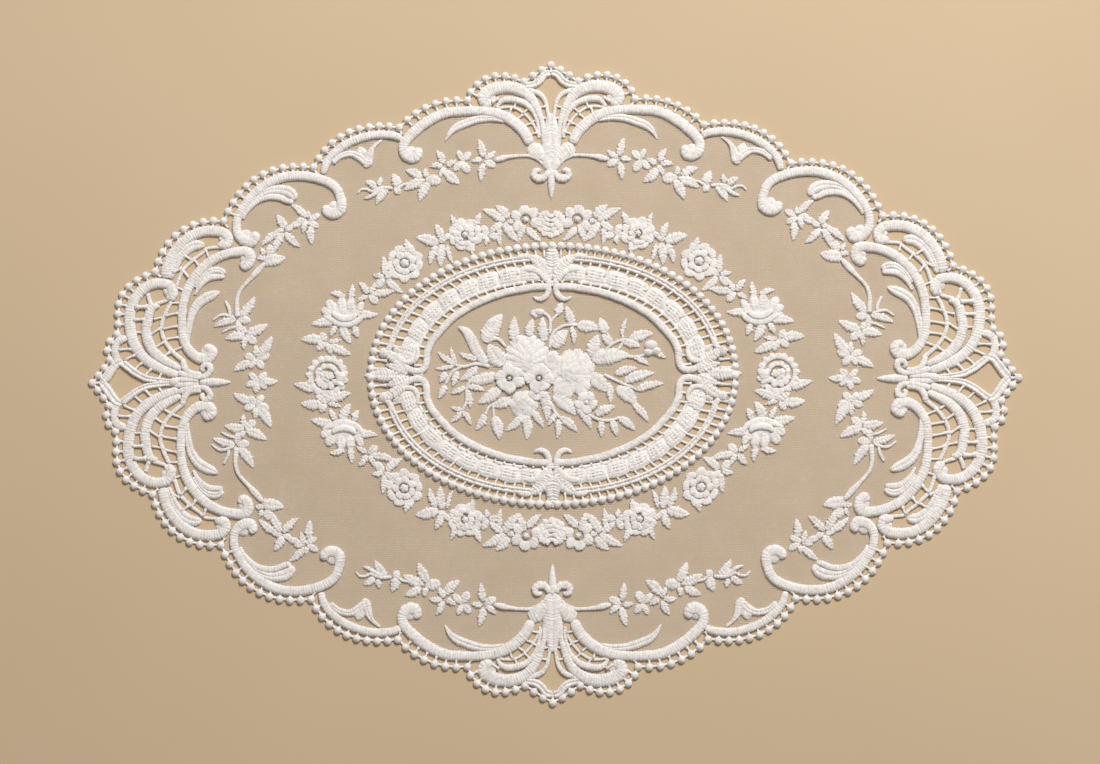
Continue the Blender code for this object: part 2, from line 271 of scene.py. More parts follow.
# A flower is its middle, then its round petals (x, y, radius), then its leaves (from, to, width).
QUARTER_SPRIG_FLOWERS = [
    ((29.6, 97.1), [(26.4, 95.3, 2)], [(30.1, 98.4, 32.1, 106.6, 3.7), (29.2, 97.8, 24.4, 101.2, 2.9),
     (30.4, 97.1, 35.2, 96.6, 2.7), (29.6, 95.6, 30.8, 87.7, 3.5)]),
    ((39.1, 96.8), [(36.9, 99.2, 1.9), (40.4, 99.9, 1.6), (37.5, 93.6, 2.2), (41.7, 94, 1.8)], []),
    ((46.6, 94.8), [], [(47.4, 95.6, 50.5, 101.7, 3.5), (46.2, 95, 41.9, 97.4, 3),
     (47.8, 94.8, 53.6, 94.5, 3), (46.6, 92.6, 40.2, 86.8, 4.7), (46.8, 94, 49, 89.4, 3)]),
    ((55.4, 89.2), [(51.4, 88.4, 2.7)], [(55.4, 89.8, 55.5, 93.9, 2.9), (57, 89.6, 64.2, 93, 4.2),
     (56.2, 88.2, 64.6, 84.1, 4.7), (53.8, 87.4, 58, 78.9, 4.6)]),
    ((69, 85.6), [(67.8, 84, 1.8)], [(67.8, 85.4, 69.7, 91.6, 4.6), (72, 85.2, 77, 77.8, 4.2),
     (76, 86, 75.2, 90.2, 2.8), (77, 85.2, 82, 88.4, 3.4)]),
    ((107.4, 70.6), [(103.5, 72.9, 1.7), (104.2, 69, 1.8), (110.4, 71, 1.8), (113.2, 69.1, 1.7)],
     [(107.8, 72.4, 114.6, 78.2, 3.5), (107.2, 72, 107.1, 75.6, 2.2), (105.6, 68.6, 105.2, 60.4, 3.8),
     (107.6, 70.6, 109.4, 65.4, 2.9)]),
    ((117.2, 66.6), [(115, 67.8, 1.6)], [(117.4, 67.4, 121.2, 73.6, 4.1), (117, 65.8, 110.4, 59.4, 3.7),
     (119.6, 66.2, 127.8, 59.8, 3.6), (118, 65.4, 122.2, 56.6, 3.8), (117.6, 66.8, 122.4, 65.8, 2.4)]),
    ((124.2, 55.2), [(123.8, 57.9, 2.3), (124.8, 52.2, 1.3)], [(126.4, 53.8, 116.9, 54.9, 5.8),
     (126.4, 55.6, 128, 59.4, 2.4), (125.6, 54.6, 129.6, 54.2, 2.8)]),
    ((137.8, 27.4), [(134.6, 27.2, 2.2), (137.4, 23.6, 1.7)], [(136.8, 28.8, 130.4, 37.6, 4.4),
     (138.6, 27.4, 148.4, 24.3, 3.6)]),
    ((134.2, 21.2), [(131.4, 18.5, 2.2), (135.4, 23, 1.6)], [(133.8, 21.4, 124.6, 25.5, 4.6),
     (134.6, 20.2, 143.2, 19, 4.4), (134.2, 20, 134.8, 14, 2.8)]),
    ((129.6, 10.2), [(126.2, 11.3, 2.4), (132.6, 11, 2), (127.6, 7.6, 2), (131.4, 7.4, 1.6)],
     [(128.6, 11.2, 122.8, 20.1, 4.8), (129.8, 11.2, 130, 16.4, 3.1), (131.6, 8.6, 139.4, 4.8, 4.2)]),
]
# The flower on the long axis, between the sprigs of two quarters.
HALF_SPRIG_FLOWER = ((128.6, 0.2), [(126.4, 2.6, 1.9), (131.2, 2.6, 1.7), (132, -0.9, 1.8),
    (126.2, -1.7, 1.7), (129.3, -3, 1.8)], [(127.8, 0.6, 119.8, 0.4, 3.8)])

# -------- the garland round the medallion

# The lower garland mirrors the upper one about a line that rises towards the sides: its height in the
# middle, and how much more it is this far out.
GARLAND_AXIS = (1.5, 2.5, 100)

# The frills of a rose, from the rim inwards. Columns: see rose().
OPEN_ROSE = [(0, 360, 0.58, 1, 9, 0.45, 0.95, FOOT, 0, 0), (20, 380, 0.26, 0.64, 7, 0.35, 1.15, 0.25, 0, 0)]
FOLDED_ROSE = [(0, 360, 0.66, 1, 17, 0.4, 0.95, FOOT, 0, 0),
    (5, 160, 0.34, 0.6, 11, 0.25, 1.15, FOOT, 0, 0), (185, 330, 0.28, 0.68, 11, 0.3, 1.15, 0.25, 0, 0),
    (-60, 20, 0.3, 0.58, 9, 0.25, 1.1, 0.15, 0.02, 0),
    (-150, 60, 0.02, 0.33, 6, 0.2, 1.1, 0.2, 0.04, -0.02),
    (20, 170, 0.02, 0.3, 6, 0.2, 1.25, 0.3, -0.06, -0.06),
    (20, 120, 0.08, 0.4, 9, 0.2, 1.25, 0.35, -0.2, -0.22),
    (140, 200, 0.4, 0.92, 9, 0.4, 1.25, 0.4, 0, -0.08)]
# A rose from its side: deep cups inside each other, open towards the rim of the doily.
CUPPED_ROSE = [(80, 280, 0.6, 1, 13, 0.3, 0.95, FOOT, 0, 0),
    (76, 284, 0.58, 0.93, 11, 0.25, 1, 0.2, 0.27, 0), (74, 286, 0.48, 0.8, 9, 0.25, 1.05, 0.3, 0.46, 0),
    (72, 288, 0.34, 0.62, 7, 0.25, 1.1, 0.4, 0.58, 0), (70, 290, 0.12, 0.44, 5, 0.2, 1.15, 0.45, 0.68, 0)]
# Five round petals, parted where the leaves start, about a ball in a moat.
EYED_BLOSSOM = [(-150, 150, 0.33, 1.04, 6, 0.6, 1.2, FOOT, 0, 0)]
SHELL_ROSE = [(0, 360, 0.56, 1, 8, 0.5, 0.95, FOOT, 0, 0),
    (-170, 150, 0.34, 0.7, 9, 0.3, 1.1, 0.3, 0.02, -0.02),
    (60, 250, 0.12, 0.52, 7, 0.3, 1.15, 0.4, -0.06, 0.02),
    (-75, 80, 0.22, 0.46, 7, 0.25, 1.15, 0.45, 0.02, 0)]
# x, y, radius, kind, turn in degrees, radius of the ball in the middle as a share.
TOP_ROSE = (-0.2, 69.3, 6.9, CUPPED_ROSE, 90, 0)
SIDE_ROSE = (98.2, 2.4, 9.4, FOLDED_ROSE, 15, 0)
QUARTER_GARLAND_ROSES = [(11.3, 70.6, 6.7, EYED_BLOSSOM, 81, 0.21), (37.8, 64.2, 7.6, SHELL_ROSE, 0, 0.21),
    (64.4, 51.8, 8.5, OPEN_ROSE, 10, 0.25)]

# The garland's small flowers, as those of the sprigs.
QUARTER_GARLAND_FLOWERS = [
    ((11.3, 70.6), [], [(10.8, 67.2, 4.6, 61.3, 3.7), (11.8, 68.2, 14.2, 60.7, 3.6)]),
    ((19.6, 69.8), [(17.9, 69.9, 1.4)], [(18.8, 71.4, 24.6, 76.9, 4.4), (20.6, 69.8, 30.4, 75.3, 4.3),
     (20.6, 69.4, 14.3, 60.9, 4.3), (22.6, 66.6, 22.4, 59, 2.9), (21.4, 69, 27.2, 64.6, 3.8)]),
    ((27.8, 63.6), [(29.4, 66.4, 1.9), (25.1, 63.4, 2), (31, 63.3, 1.8)], [(27.9, 63, 28.6, 59.3, 2.8)]),
    ((49, 60.6), [(45.5, 63.7, 1.5), (48.6, 61.2, 2)], [(48.4, 62.4, 51, 69, 3.8),
     (49.8, 60.2, 59.5, 63.1, 5.2), (45.6, 59.6, 43.2, 51.5, 2.4), (47.6, 60, 48.5, 50.2, 4.6),
     (50.4, 59.4, 53.3, 51, 3.6)]),
    ((73.1, 45.2), [(70.9, 46.9, 1.9), (75.4, 43, 2.2)], [(73.6, 45.4, 78.6, 46.6, 2.8),
     (72.2, 44.8, 65.2, 38.9, 3.8), (79, 38.6, 68, 40.3, 3.6)]),
    ((80.2, 38), [(77.9, 35.8, 2.1)], [(79.8, 38.6, 77.2, 43.7, 2.8), (80.6, 38.6, 84.6, 43.6, 3.2),
     (80.8, 37.4, 85.2, 34.8, 2.6)]),
    ((98.6, 17.4), [(100.1, 19.9, 1.8), (97.2, 14, 1.8), (101.3, 15.3, 1.9)], [(97.8, 17.6, 92, 18.4, 2.4),
     (100.2, 17.8, 109.9, 18.4, 4.8), (96.8, 16.4, 87.8, 11.9, 4.4)]),
]
# Leaves that stand alone: from, to, width.
QUARTER_GARLAND_LEAVES = [(34.4, 68, 31.2, 73.8, 3.4), (42.4, 66.5, 44.2, 73.3, 2.8),
    (34.2, 59.5, 34.6, 55.2, 2.6), (63.3, 56.8, 64, 62.5, 3.2), (73.4, 46.6, 74, 55, 3.4),
    (88.6, 35.5, 87.4, 42.8, 3.2), (90.6, 37, 97.2, 39, 3), (86.5, 30.2, 76, 29.5, 4),
    (95.6, 25.8, 105.4, 25, 4.4), (86.4, 24.4, 84.5, 19.1, 3.4), (91.8, 24.8, 87.8, 16.6, 4.4),
    (94.2, 24.4, 97, 19.4, 3)]
# The rosebud's petals: upright ones behind, then the cup and the band under it.
QUARTER_BUD_PETALS = [(88.4, 29.6, 87.8, 37.2, 4.2), (91.9, 29.6, 92, 37.6, 4.4), (95.2, 29.2, 98, 36, 4.8),
    (96.2, 28.4, 100.6, 32.2, 4.4), (85.6, 29.2, 82.8, 35, 3.6)]
QUARTER_BUD_BASE = (91.2, 30.8, 13.6, 8.4, 0.8, 0)
QUARTER_BUD_CUP = [(85.4, 29.8, 1.6), (87.4, 28, 3), (90.8, 27.5, 3.4), (94.2, 28.6, 2.8), (96, 30.6, 1.6)]
QUARTER_BUD_BAND = [(81.6, 30.2, 1.4), (84.4, 27, 3), (88.6, 25.2, 3.6), (93, 25.6, 3.6), (97.4, 27.6, 2.4),
    (100.4, 29, 1.2)]
# A leaf that only the garland's two side roses have.
HALF_GARLAND_LEAF = (104.2, -4.2, 113, -1, 4)

# -------- the medallion

MEDALLION_CENTRE = np.array([0.3, 2.6])
# Ovals |x/a|^n + |y/b|^n = 1: a, b, n.
BEAD_OVAL = (79.4, 56.4, 2.05)
BEAD_THREAD_OVAL = (79, 56, 2.05)
TWIN_OVAL = (72.6, 51.2, 2.15)
BRAID_OVAL = (64.1, 44.6, 2.15)
BRAID_EDGE_OVAL = (60.6, 41.1, 2.15)
INNER_OVAL = (56.6, 38.6, 2.12)
# How far off the Y and X axes a quarter's cord or braid ends.
TWIN_ENDS = (9, 12.5)
BRAID_ENDS = (4.5, 6.5)
BRAID_EDGE_ENDS = (11, 10)
TWIN_WIDTH = 3.1
BRAID_HALF_WIDTH = 3.6
BRAID_EDGE_WIDTH = 1.7
OVAL_BEAD_PITCH = 3.9
OVAL_BEAD_RADIUS = 1.95
ROSETTE_PITCH = 9.2
DASH_PITCH = 1.8
DASH_ROWS = 2.7
PLEAT_PITCH = 0.95
LADDER_PITCH = 4.3
# Bars between two ovals: the outer one, the inner one, the pitch.
MEDALLION_LADDERS = [(BEAD_OVAL, TWIN_OVAL, OVAL_BEAD_PITCH), (TWIN_OVAL, BRAID_OVAL, LADDER_PITCH),
    (BRAID_EDGE_OVAL, INNER_OVAL, LADDER_PITCH)]

# The rest of the medallion is in millimetres from its own middle, one quarter each.
QUARTER_INNER_CORD = [(0.6, 38.4, 3.2), (7.7, 38.3, 3.3), (14.7, 37.2, 3.4), (19.7, 36.3, 3.4),
    (24.7, 34.8, 3.4), (29.7, 32.9, 3.4), (34.7, 30.6, 3.5), (39.7, 27.7, 3.5), (42.8, 25.6, 3.5),
    (45.8, 22.8, 3.5), (48.9, 19.4, 3.5), (52, 15.8, 3.5), (53.8, 12.6, 3.5), (54.8, 9.4, 3.5),
    (54.9, 6.6, 3.4), (55.4, 4, 3.3), (57, 2.1, 3.2), (59.6, 1.7, 3.2), (62.8, 2.6, 3.2), (65.6, 4.8, 3),
    (67.6, 6.6, 2.6)]
# Short cords beside the palmettes: x, y, width.
QUARTER_MEDALLION_CORDS = [
    [(0.9, 45.2, 1.6), (1.5, 42.4, 2.4), (1.7, 39.4, 2.8), (1.7, 36.8, 2.9), (2.7, 34.4, 2.8),
     (4.8, 33.1, 2.5), (6.6, 33.1, 1.9), (8.4, 34.1, 0.9)],
    [(9.6, 52, 2.4), (12.6, 51.8, 2.8), (15.6, 51, 2.4)],
    [(69.4, 16.4, 2.4), (70.6, 13.2, 2.8), (72.4, 10.6, 2.6)],
]
# Hooks that lie over the ends of the braid.
QUARTER_MEDALLION_HOOKS = [
    [(2.6, 40.6, 2.2), (4.2, 43.4, 2.9), (6.8, 45.4, 3.1), (10, 46, 2.6), (13, 45.4, 1.2)],
    [(59.2, 13, 1.6), (58.8, 9.4, 2.2), (60.2, 6.4, 2.5), (63.2, 5.6, 2.4), (66.6, 6.6, 1.8)],
]
# Ribbed wings at the foot of each pointed leaf: from, to, width, bend.
QUARTER_MEDALLION_WINGS = [(1.4, 41.2, 11.4, 52.2, 6.4, 0.14), (2.2, 40.2, 10.6, 46.8, 3.6, 0.2),
    (62.8, 2.4, 75.4, 11.4, 5.6, 0.04), (63.2, 0.8, 73, 4.6, 4.2, 0.04)]
# The pointed leaves on the axes: from, to and width, then the height and the mirror images.
HALF_MEDALLION_LEAVES = [((0, 43.4, 0, 58, 6.9), 1.6, UP_DOWN), ((66.4, 0, 82.2, 0, 6), 1.5, RIGHT_LEFT)]
# Low domes: x, y, length, width, height, turn.
QUARTER_MEDALLION_PADS = [(73.8, 9.8, 4.8, 4.4, 1.9, 90), (67.8, 10.6, 4.4, 3.4, 1.5, 40),
    (66.4, 2.4, 8, 4.6, 1, 20), (5.6, 47.6, 6, 4, 0.9, 40)]

# -------- the bouquet

# x, y, radius, lobes at the rim, the turn it leans to, how far as a share of its radius.
BOUQUET_PEONIES = [(-10.8, 10.4, 10.2, 14, -75, 0.34), (9.8, 4.8, 9.2, 9, 205, 0.38),
    (-12.2, -10.4, 6.4, 6, 95, 0.25)]
# The ruffles of a peony, from the lowest up: radius as a share, height, foot, notch.
PEONY_LAYERS = [(1, 1, FOOT, 0.13), (0.78, 0.9, 0.5, 0.17), (0.56, 0.8, 0.9, 0.2), (0.34, 0.7, 1.2, 0.22)]
# Petals that fill in between the large blossoms: x, y, radius, turn, lobes, notch, height, foot, lean.
BOUQUET_RUFFLES = [(1.2, 3.6, 4.6, 80, 4, 0.2, 1, FOOT, 0.4), (5.4, -3.2, 5.4, 70, 5, 0.18, 1.1, 0.2, 0.5),
    (0.4, 8.6, 4.4, 200, 4, 0.2, 1, 0.3, 0.5), (12.6, -2.6, 4.4, 120, 4, 0.2, 1, 0.2, 0.5)]
# Two kinds of small blossom, as the frills of a rose, and where they are, as the roses of the garland.
FIVE_PETALS = [(0, 360, 0.2, 1, 5, 0.32, 1.2, 0.3, 0, 0)]
RUFFLED_PETALS = [(0, 360, 0.2, 1, 6, 0.26, 1.2, 0.6, 0, 0)]
BOUQUET_BLOSSOMS = [(-18.5, 0.9, 6.6, RUFFLED_PETALS, 10, 0.16), (-5.6, 0.9, 6.6, RUFFLED_PETALS, 30, 0.16),
    (-6.5, -5.2, 4.1, FIVE_PETALS, 15, 0.3), (15, -9.8, 5.2, FIVE_PETALS, 18, 0.26)]
# Leaves (from, to, width), stems (x, y, width) and buds (x, y, radius).
BOUQUET_LEAVES = [(-28.9, 16.6, -21.6, 29, 8), (-32.2, 9.5, -40.6, 12.4, 3), (-21, 7, -27.5, 16, 8),
    (-15.5, 16, -16.2, 28.1, 5), (-9.7, 19, -8.2, 26.9, 4.5), (-3, 17, -3.8, 27.7, 4.8),
    (-24, 2.6, -37.2, 0.4, 5.5), (-32.6, 6.2, -40.2, 0.2, 4), (-22.5, -3, -32.4, -9.7, 5.5),
    (-18, -8, -26, -11, 5), (-4, -4, -2.4, -17.5, 5), (-12.5, -15, -20.4, -21.9, 4),
    (-11.5, -15, -11.1, -25.8, 4.8), (-9.6, -13, -3.6, -20.8, 3.5), (-25.4, -15.6, -23, -25.8, 5.3),
    (-29.2, -14.6, -33.2, -21.5, 4), (-38, -2.6, -44.2, -5.4, 2.8), (-36.6, -2.6, -29.3, -4.4, 3),
    (-37, -4, -35.7, -12.2, 3), (-39, -12.6, -44.2, -11.3, 2.2), (-39.2, -13.2, -44.3, -18.1, 2.8),
    (-39, -13.4, -35.3, -19.4, 2.6), (-42, 7.4, -49.9, 12.8, 3), (-41.6, 7.2, -44.1, 15.1, 2.2),
    (-42.6, 6.8, -51.2, 5.5, 2.2), (-41.6, 4.4, -43.6, -2.5, 3.4), (-46.4, 3.9, -49.2, -0.7, 3.5),
    (-46.6, -1.6, -49.8, -7.8, 3.3), (9.5, 24.5, 6.6, 32.6, 4.2), (11, 23.5, 20.7, 22.3, 5.6),
    (8.5, 23.4, 9.7, 15.5, 2.8), (1, 14.2, 6.8, 21.9, 6.6), (17.6, 9.8, 20.3, 19.8, 6.2),
    (24, 20.4, 21.2, 27.3, 5), (26.4, 15.8, 22.1, 20.2, 4.2), (30.6, 19.4, 32.9, 27.2, 2.3),
    (34.2, 17.6, 44.2, 20.2, 5), (31.4, 16.2, 38.5, 14.5, 4), (17.4, 8.6, 34, 10.5, 7.5),
    (27.6, 2.4, 37, 5.1, 4), (31.6, -0.8, 44.7, 3, 4.8), (36.6, -4.6, 48.8, -1.6, 3.8),
    (35.2, -10.6, 41.9, -18.4, 3.6), (28, -3.4, 36.8, -11.2, 6.2), (31.2, -3.4, 36, -8.6, 4),
    (24.4, -1.2, 25.3, -10.3, 3.5), (16.8, 2, 23.7, -5.2, 7), (9.6, -9, 16.9, -21.2, 5),
    (0.5, -6.5, 10.2, -15.2, 6.5), (19, -15.2, 27.6, -11.6, 4.5), (20.8, -17.6, 21.3, -24.8, 3.4),
    (25.6, -17.6, 28, -24.6, 3.6), (29, -16.6, 36, -22, 4), (3.6, -16.2, 11, -22.6, 4),
    (2.6, -17, 2.1, -25.6, 3.3), (1.4, -14.4, -2.2, -19.7, 2.8), (-4.4, 29.6, -9.6, 29.8, 4.4),
    (2.6, 28.4, 4.8, 34.1, 4), (44.6, 11.6, 49.7, 9.4, 2.6), (35.2, 10, 42.2, 6.4, 2.8)]
BOUQUET_STEMS = [
    [(-40.9, 23.8, 1), (-36.7, 20.7, 4.4), (-32.6, 12.9, 5), (-28.6, 7, 3.6)],
    [(-28, 17.3, 1.2), (-23.6, 18.3, 1.7), (-20, 14.8, 1.2)],
    [(-0.9, 20, 1.4), (-0.6, 25.6, 1.4), (-1.8, 28.4, 1.4), (-4.6, 30, 1.5)],
    [(-0.8, 24.4, 1.3), (0.6, 27, 1.3), (2.8, 29.2, 1.2)],
    [(-24.6, -9.6, 1.3), (-27.6, -11.8, 1.3), (-29.2, -15.2, 1.3)],
    [(-25.6, -10.6, 1.1), (-25.4, -16, 1.2)],
    [(-34.6, 0.8, 1.2), (-37, -2.6, 1.6), (-37.2, -9, 1.6), (-39.2, -13.2, 1.3)],
    [(-27, 6.2, 1.6), (-33, 7.4, 1.5), (-38.4, 6.2, 1.5), (-42.2, 7, 1.4)],
    [(-39.4, 6.2, 1.5), (-43.6, 3.6, 1.5), (-46.5, -1.6, 1.4)],
    [(-1.1, 14, 1.4), (0.1, 19.8, 1.4), (3.1, 22.8, 1.4), (6.5, 24.1, 1.4), (11.4, 24.2, 1.4)],
    [(22.2, 11, 1.6), (25.6, 15.2, 1.5), (30.2, 17.4, 1.4), (34.4, 17.4, 1.3)],
    [(27, 11, 1.4), (30.6, 15.8, 1.4), (31, 19.8, 1.2)],
    [(25.4, 15, 1.3), (25.2, 18, 1.3), (24, 20.8, 1.3)],
    [(22.6, 2.4, 1.4), (26, 0.8, 1.4), (31, -1.6, 1.4), (37.2, -4.4, 1.2)],
    [(32.6, 10.3, 1.6), (37.4, 10, 1.4), (41.4, 11.6, 1.4)],
    [(14.8, -14.4, 1.6), (20.6, -17.3, 1.5), (25.3, -17.5, 1.4), (29.8, -16.3, 1.3)],
    [(-0.6, -9.8, 1.6), (1.6, -14.2, 1.5), (3.8, -16.6, 1.4)],
]
BOUQUET_BUDS = [(-5.2, 29.8, 2.2), (43.2, 15, 3), (45.4, 12.4, 2.4), (42, 12, 2.2)]

# -------- camera, light and finish

CAMERA_LENS = 72.19
CAMERA_PLACE = (34.056, -76.042, 956.796)
CAMERA_TURN = (4.4956, 2.1003, -0.1560)
# In metres and watts.
LAMP_PLACE = (0.42, 1.05, 1.22)
LAMP_SIZE = 0.5
LAMP_POWER = 28.5
LAMP_COLOUR = (1.0, 0.98, 0.95)
SKY_COLOUR = (1.0, 0.99, 0.97, 1.0)
SKY_STRENGTH = 0.25
FLOOR_HALF = 3.0
BUMP_DISTANCE = 0.0002

# The cotton's colour in painted shade, in the grooves between its ridges and threads, and in its darker
# random patches; then its lit white.
SHADE_AND_PATCH_COTTON = (0.58, 0.51, 0.45, 1.0)
WHITE_COTTON = (0.915, 0.875, 0.85, 1.0)
DARK_NET = (0.56, 0.50, 0.44, 1.0)
LIGHT_NET = (0.80, 0.75, 0.70, 1.0)
DARK_FLOOR = (0.58, 0.44, 0.285, 1.0)
LIGHT_FLOOR = (0.63, 0.485, 0.325, 1.0)
# How far from the middle of a cell its threads start, as a share of its width: what a noise adds, at
# most, and the least.
NET_SLACK = (0.16, 0.355)

# Each cotton's own values for the inputs of the stitches, then its bump and its roughness. The last input
# deepens the grooves in the bump and darkens them with painted shade.
STITCH_INPUTS = ("Ridge Pitch", "Thread Pitch", "Unevenness", "Groove Depth And Shade")
COTTONS = [
    ("satin stitch cotton", (LEAF_STITCH, 0.42, 0.5, 0.36), 0.6, 0.65),
    ("smooth petal cotton", (LEAF_STITCH, 0.42, 0.5, 0.17), 0.5, 0.65),
    ("padded cord cotton", (CORD_STITCH, 0.42, 0.5, 0.33), 0.5, 0.65),
    ("wrapped thread", (CORD_STITCH, 0.5, 0.6, 0.2), 0.4, 0.7),
    ("knotted picot cotton", (LEAF_STITCH, 0.5, 1.0, 0.1), 0.5, 0.65),
]

# -------- lines and waves


def lengths(line):
    """How far each point of a line is from its start, along the line."""
    return np.r_[0.0, np.hypot(*np.diff(line[:, :2], axis=0).T).cumsum()]


def recut(curve, step):
    """The same curve in even steps of about this length."""
    reach = lengths(curve)
    even = np.linspace(0, reach[-1], max(round(reach[-1] / step), 2) + 1)
    return np.stack([np.interp(even, reach, column) for column in curve.T], axis=1)


def even_line(stations, step=STEP):
    """A Catmull-Rom curve through the stations, in even steps. A station is x, y and perhaps a width."""
    known = np.array(stations, dtype=float)
    padded = np.vstack([2 * known[0] - known[1], known, 2 * known[-1] - known[-2]])
    t = np.linspace(0, 1, 8, endpoint=False)[:, None, None]
    a, b, c, d = padded[:-3], padded[1:-2], padded[2:-1], padded[3:]
    curve = b + 0.5 * t * (c - a + t * (2 * a - 5 * b + 4 * c - d + t * (3 * b - a - 3 * c + d)))
    return recut(np.vstack([curve.transpose(1, 0, 2).reshape(-1, known.shape[1]), known[-1:]]), step)


def between(start, end, bend, count):
    """Points from start to end, bowed to the left by bend times the length."""
    t = np.linspace(0, 1, count)[:, None]
    start, end = np.array(start), np.array(end)
    along = end - start
    return start + along * t + np.array([-along[1], along[0]]) * bend * 4 * t * (1 - t)


def oval_points(oval, angle):
    """Points on |x/a|^n + |y/b|^n = 1: a |cos|^(2/n) and b |sin|^(2/n), with their signs."""
    a, b, n = oval
    cos, sin = np.cos(angle), np.sin(angle)
    x, y = a * np.sign(cos) * np.abs(cos) ** (2 / n), b * np.sign(sin) * np.abs(sin) ** (2 / n)
    return np.stack([x, y], axis=1)


def oval_quarter(oval, from_y_axis, from_x_axis, step=STEP):
    """A quarter of an oval, clockwise, that stops short of the axes by the given distances."""
    curve = oval_points(oval, np.linspace(np.pi / 2, 0, 361))
    return recut(curve[(curve[:, 0] >= from_y_axis) & (curve[:, 1] >= from_x_axis)], step)


def oval_ring(oval, pitch):
    """Points an even pitch apart all round an oval, clockwise from the Y axis."""
    return recut(oval_points(oval, np.linspace(np.pi / 2, -1.5 * np.pi, 1441)), pitch)[:-1]


def oval_reach(oval, angles):
    """An oval's distance from its middle in each direction."""
    a, b, n = oval
    return (np.abs(np.cos(angles) / a) ** n + np.abs(np.sin(angles) / b) ** n) ** (-1 / n)


def leftwards(line):
    """The unit vector to the left of a line's direction, at each of its points."""
    along = np.gradient(line[:, :2], axis=0)
    along /= np.linalg.norm(along, axis=1, keepdims=True)
    return np.stack([-along[:, 1], along[:, 0]], axis=1)


def heading(turn):
    """The cosine and the sine of a turn in degrees."""
    return math.cos(math.radians(turn)), math.sin(math.radians(turn))


def stacked(*columns):
    """The columns side by side as the last axis, each spread over the whole grid."""
    return np.stack(np.broadcast_arrays(*columns), axis=-1)


def stitch_wave(run, pitch=LEAF_STITCH):
    """The ridges of satin stitch: a cosine of the distance run, which the sines of WANDER shift a little."""
    wander = sum(size * np.sin(rate * run + start) for size, rate, start in WANDER)
    return np.cos(2 * np.pi * run / pitch + wander)


def wrap_wave(run):
    """The wraps of a stuffed cord: ridges that come and go, on the slow unevenness of the stuffing."""
    swell = 0.7 + 0.5 * np.sin(0.83 * run + 1.7 * np.sin(0.21 * run))
    return stitch_wave(run, CORD_STITCH) * swell + 0.5 * np.sin(1.1 * run)


def rounded(share):
    """A quarter circle that rises from 0 to 1 as the share does."""
    return (1 - np.clip(1 - share, 0, 1) ** 2) ** 0.5


def lobed(angle, lobes):
    """1 in the middle of each lobe and 0 between two: |cos|^0.6 of half the lobe's angle."""
    return np.abs(np.cos(lobes * angle / 2)) ** 0.6


# -------- cross sections


def closed_section(across, lift):
    """A section's top from its right edge (-1) to its left edge (1), then back along a flat underside."""
    under = np.linspace(across[-1], across[0], 4)[1:-1]
    return np.r_[across, under], np.r_[lift, np.zeros(2)]


def crowned(count=9, fullness=4.2):
    """A stuffed cord: height (1 - |across|^fullness)^(1/2)."""
    across = -np.cos(np.linspace(0, np.pi, count))
    return closed_section(across, (1 - np.abs(across) ** fullness) ** 0.5)


def furrowed(floor):
    """Two stuffed cords side by side. The floor of the furrow between them is at a share of their height."""
    across = np.array([-1, -0.94, -0.75, -0.5, -0.28, -0.1, 0, 0.1, 0.28, 0.5, 0.75, 0.94, 1])
    cords = np.abs(1 - np.abs(2 * np.abs(across) - 1) ** 2.2) ** 0.5
    return closed_section(across, np.maximum(cords, floor * (1 - across**4)))


def veined(depth=0.16, reach=0.2):
    """A leaf: a low crown with a groove along its middle, which fades as e^-(across/reach)^2."""
    across = np.array([-1, -0.93, -0.72, -0.4, -0.8 * reach, 0, 0.8 * reach, 0.4, 0.72, 0.93, 1])
    crown = (1 - np.abs(across) ** 3.2) ** 0.5
    return closed_section(across, crown * (1 - depth * np.exp(-((across / reach) ** 2))))


CROWNED = crowned()
THREAD_SECTION = crowned(count=5, fullness=2.0)
FURROWED = furrowed(0.45)
SHALLOW_FURROWED = furrowed(0.74)
VEINED = veined()
CREASED = veined(depth=0.22, reach=0.11)
PRESSED = crowned(count=11, fullness=6.0)

# -------- cords, leaves and petals

# A form is a stack of closed rings of points in metres, with each point's place in its stitches: the
# distance run along them and the distance to the side, in millimetres.


def form_along(line, half_widths, heights, section, foot=FOOT, slant=0.0, depth=0.05, teeth=0.025,
               wave=wrap_wave, twist=0.0):
    """A cross section carried along a line, with a half width and a height at each of its points.

    Its ridges are waves of the distance run, which slant carries forwards towards both sides, as on a
    leaf, and twist towards one side, as on a rope. They are depth of the height, and their ends are teeth
    of the half width. The sines of EDGE_WAVES, other on the left than on the right, make them uneven.
    """
    across, lift = section
    side = across * half_widths[:, None]
    run = lengths(line)[:, None] - slant * np.abs(side) - twist * side + line[0, 0]
    ridges = wave(run)
    uneven = sum(size * np.sin(rate * run + start * np.sign(side)) for size, rate, start in EDGE_WAVES)
    outwards = side * (1 + teeth * (ridges + UNEVEN_EDGE * uneven))
    flat = line[:, None, :2] + leftwards(line)[:, None] * outwards[..., None]
    z = foot + heights[:, None] * lift * (1 + depth * ridges)
    return stacked(flat[..., 0], flat[..., 1], z) * MM, stacked(run, side)


def cord(stations, height=CORD_HEIGHT, section=CROWNED, foot=FOOT, step=STEP, **stitches):
    """A padded cord. Its height follows its width up to a limit, and a quarter circle closes each end."""
    line = even_line(stations, step)
    run, width = lengths(line), line[:, 2]
    from_end = np.minimum(run, run[-1] - run) + 0.05 * width
    closing = rounded(2 * from_end / width)
    heights = np.minimum(height, 0.5 * width + 0.25) * closing
    return form_along(line, width / 2 * closing, heights, section, foot, **stitches)


def cords(table, height=CORD_HEIGHT, **details):
    """A padded cord for each line of stations in a table."""
    return [cord(stations, height, **details) for stations in table]


def oval_cord(oval, from_y_axis, from_x_axis, width, section=CROWNED):
    """A padded cord of one width along a quarter of an oval."""
    line = oval_quarter(oval, from_y_axis, from_x_axis)[::6]
    return cord(np.column_stack([line, np.full(len(line), width)]), OVAL_CORD_HEIGHT, section)


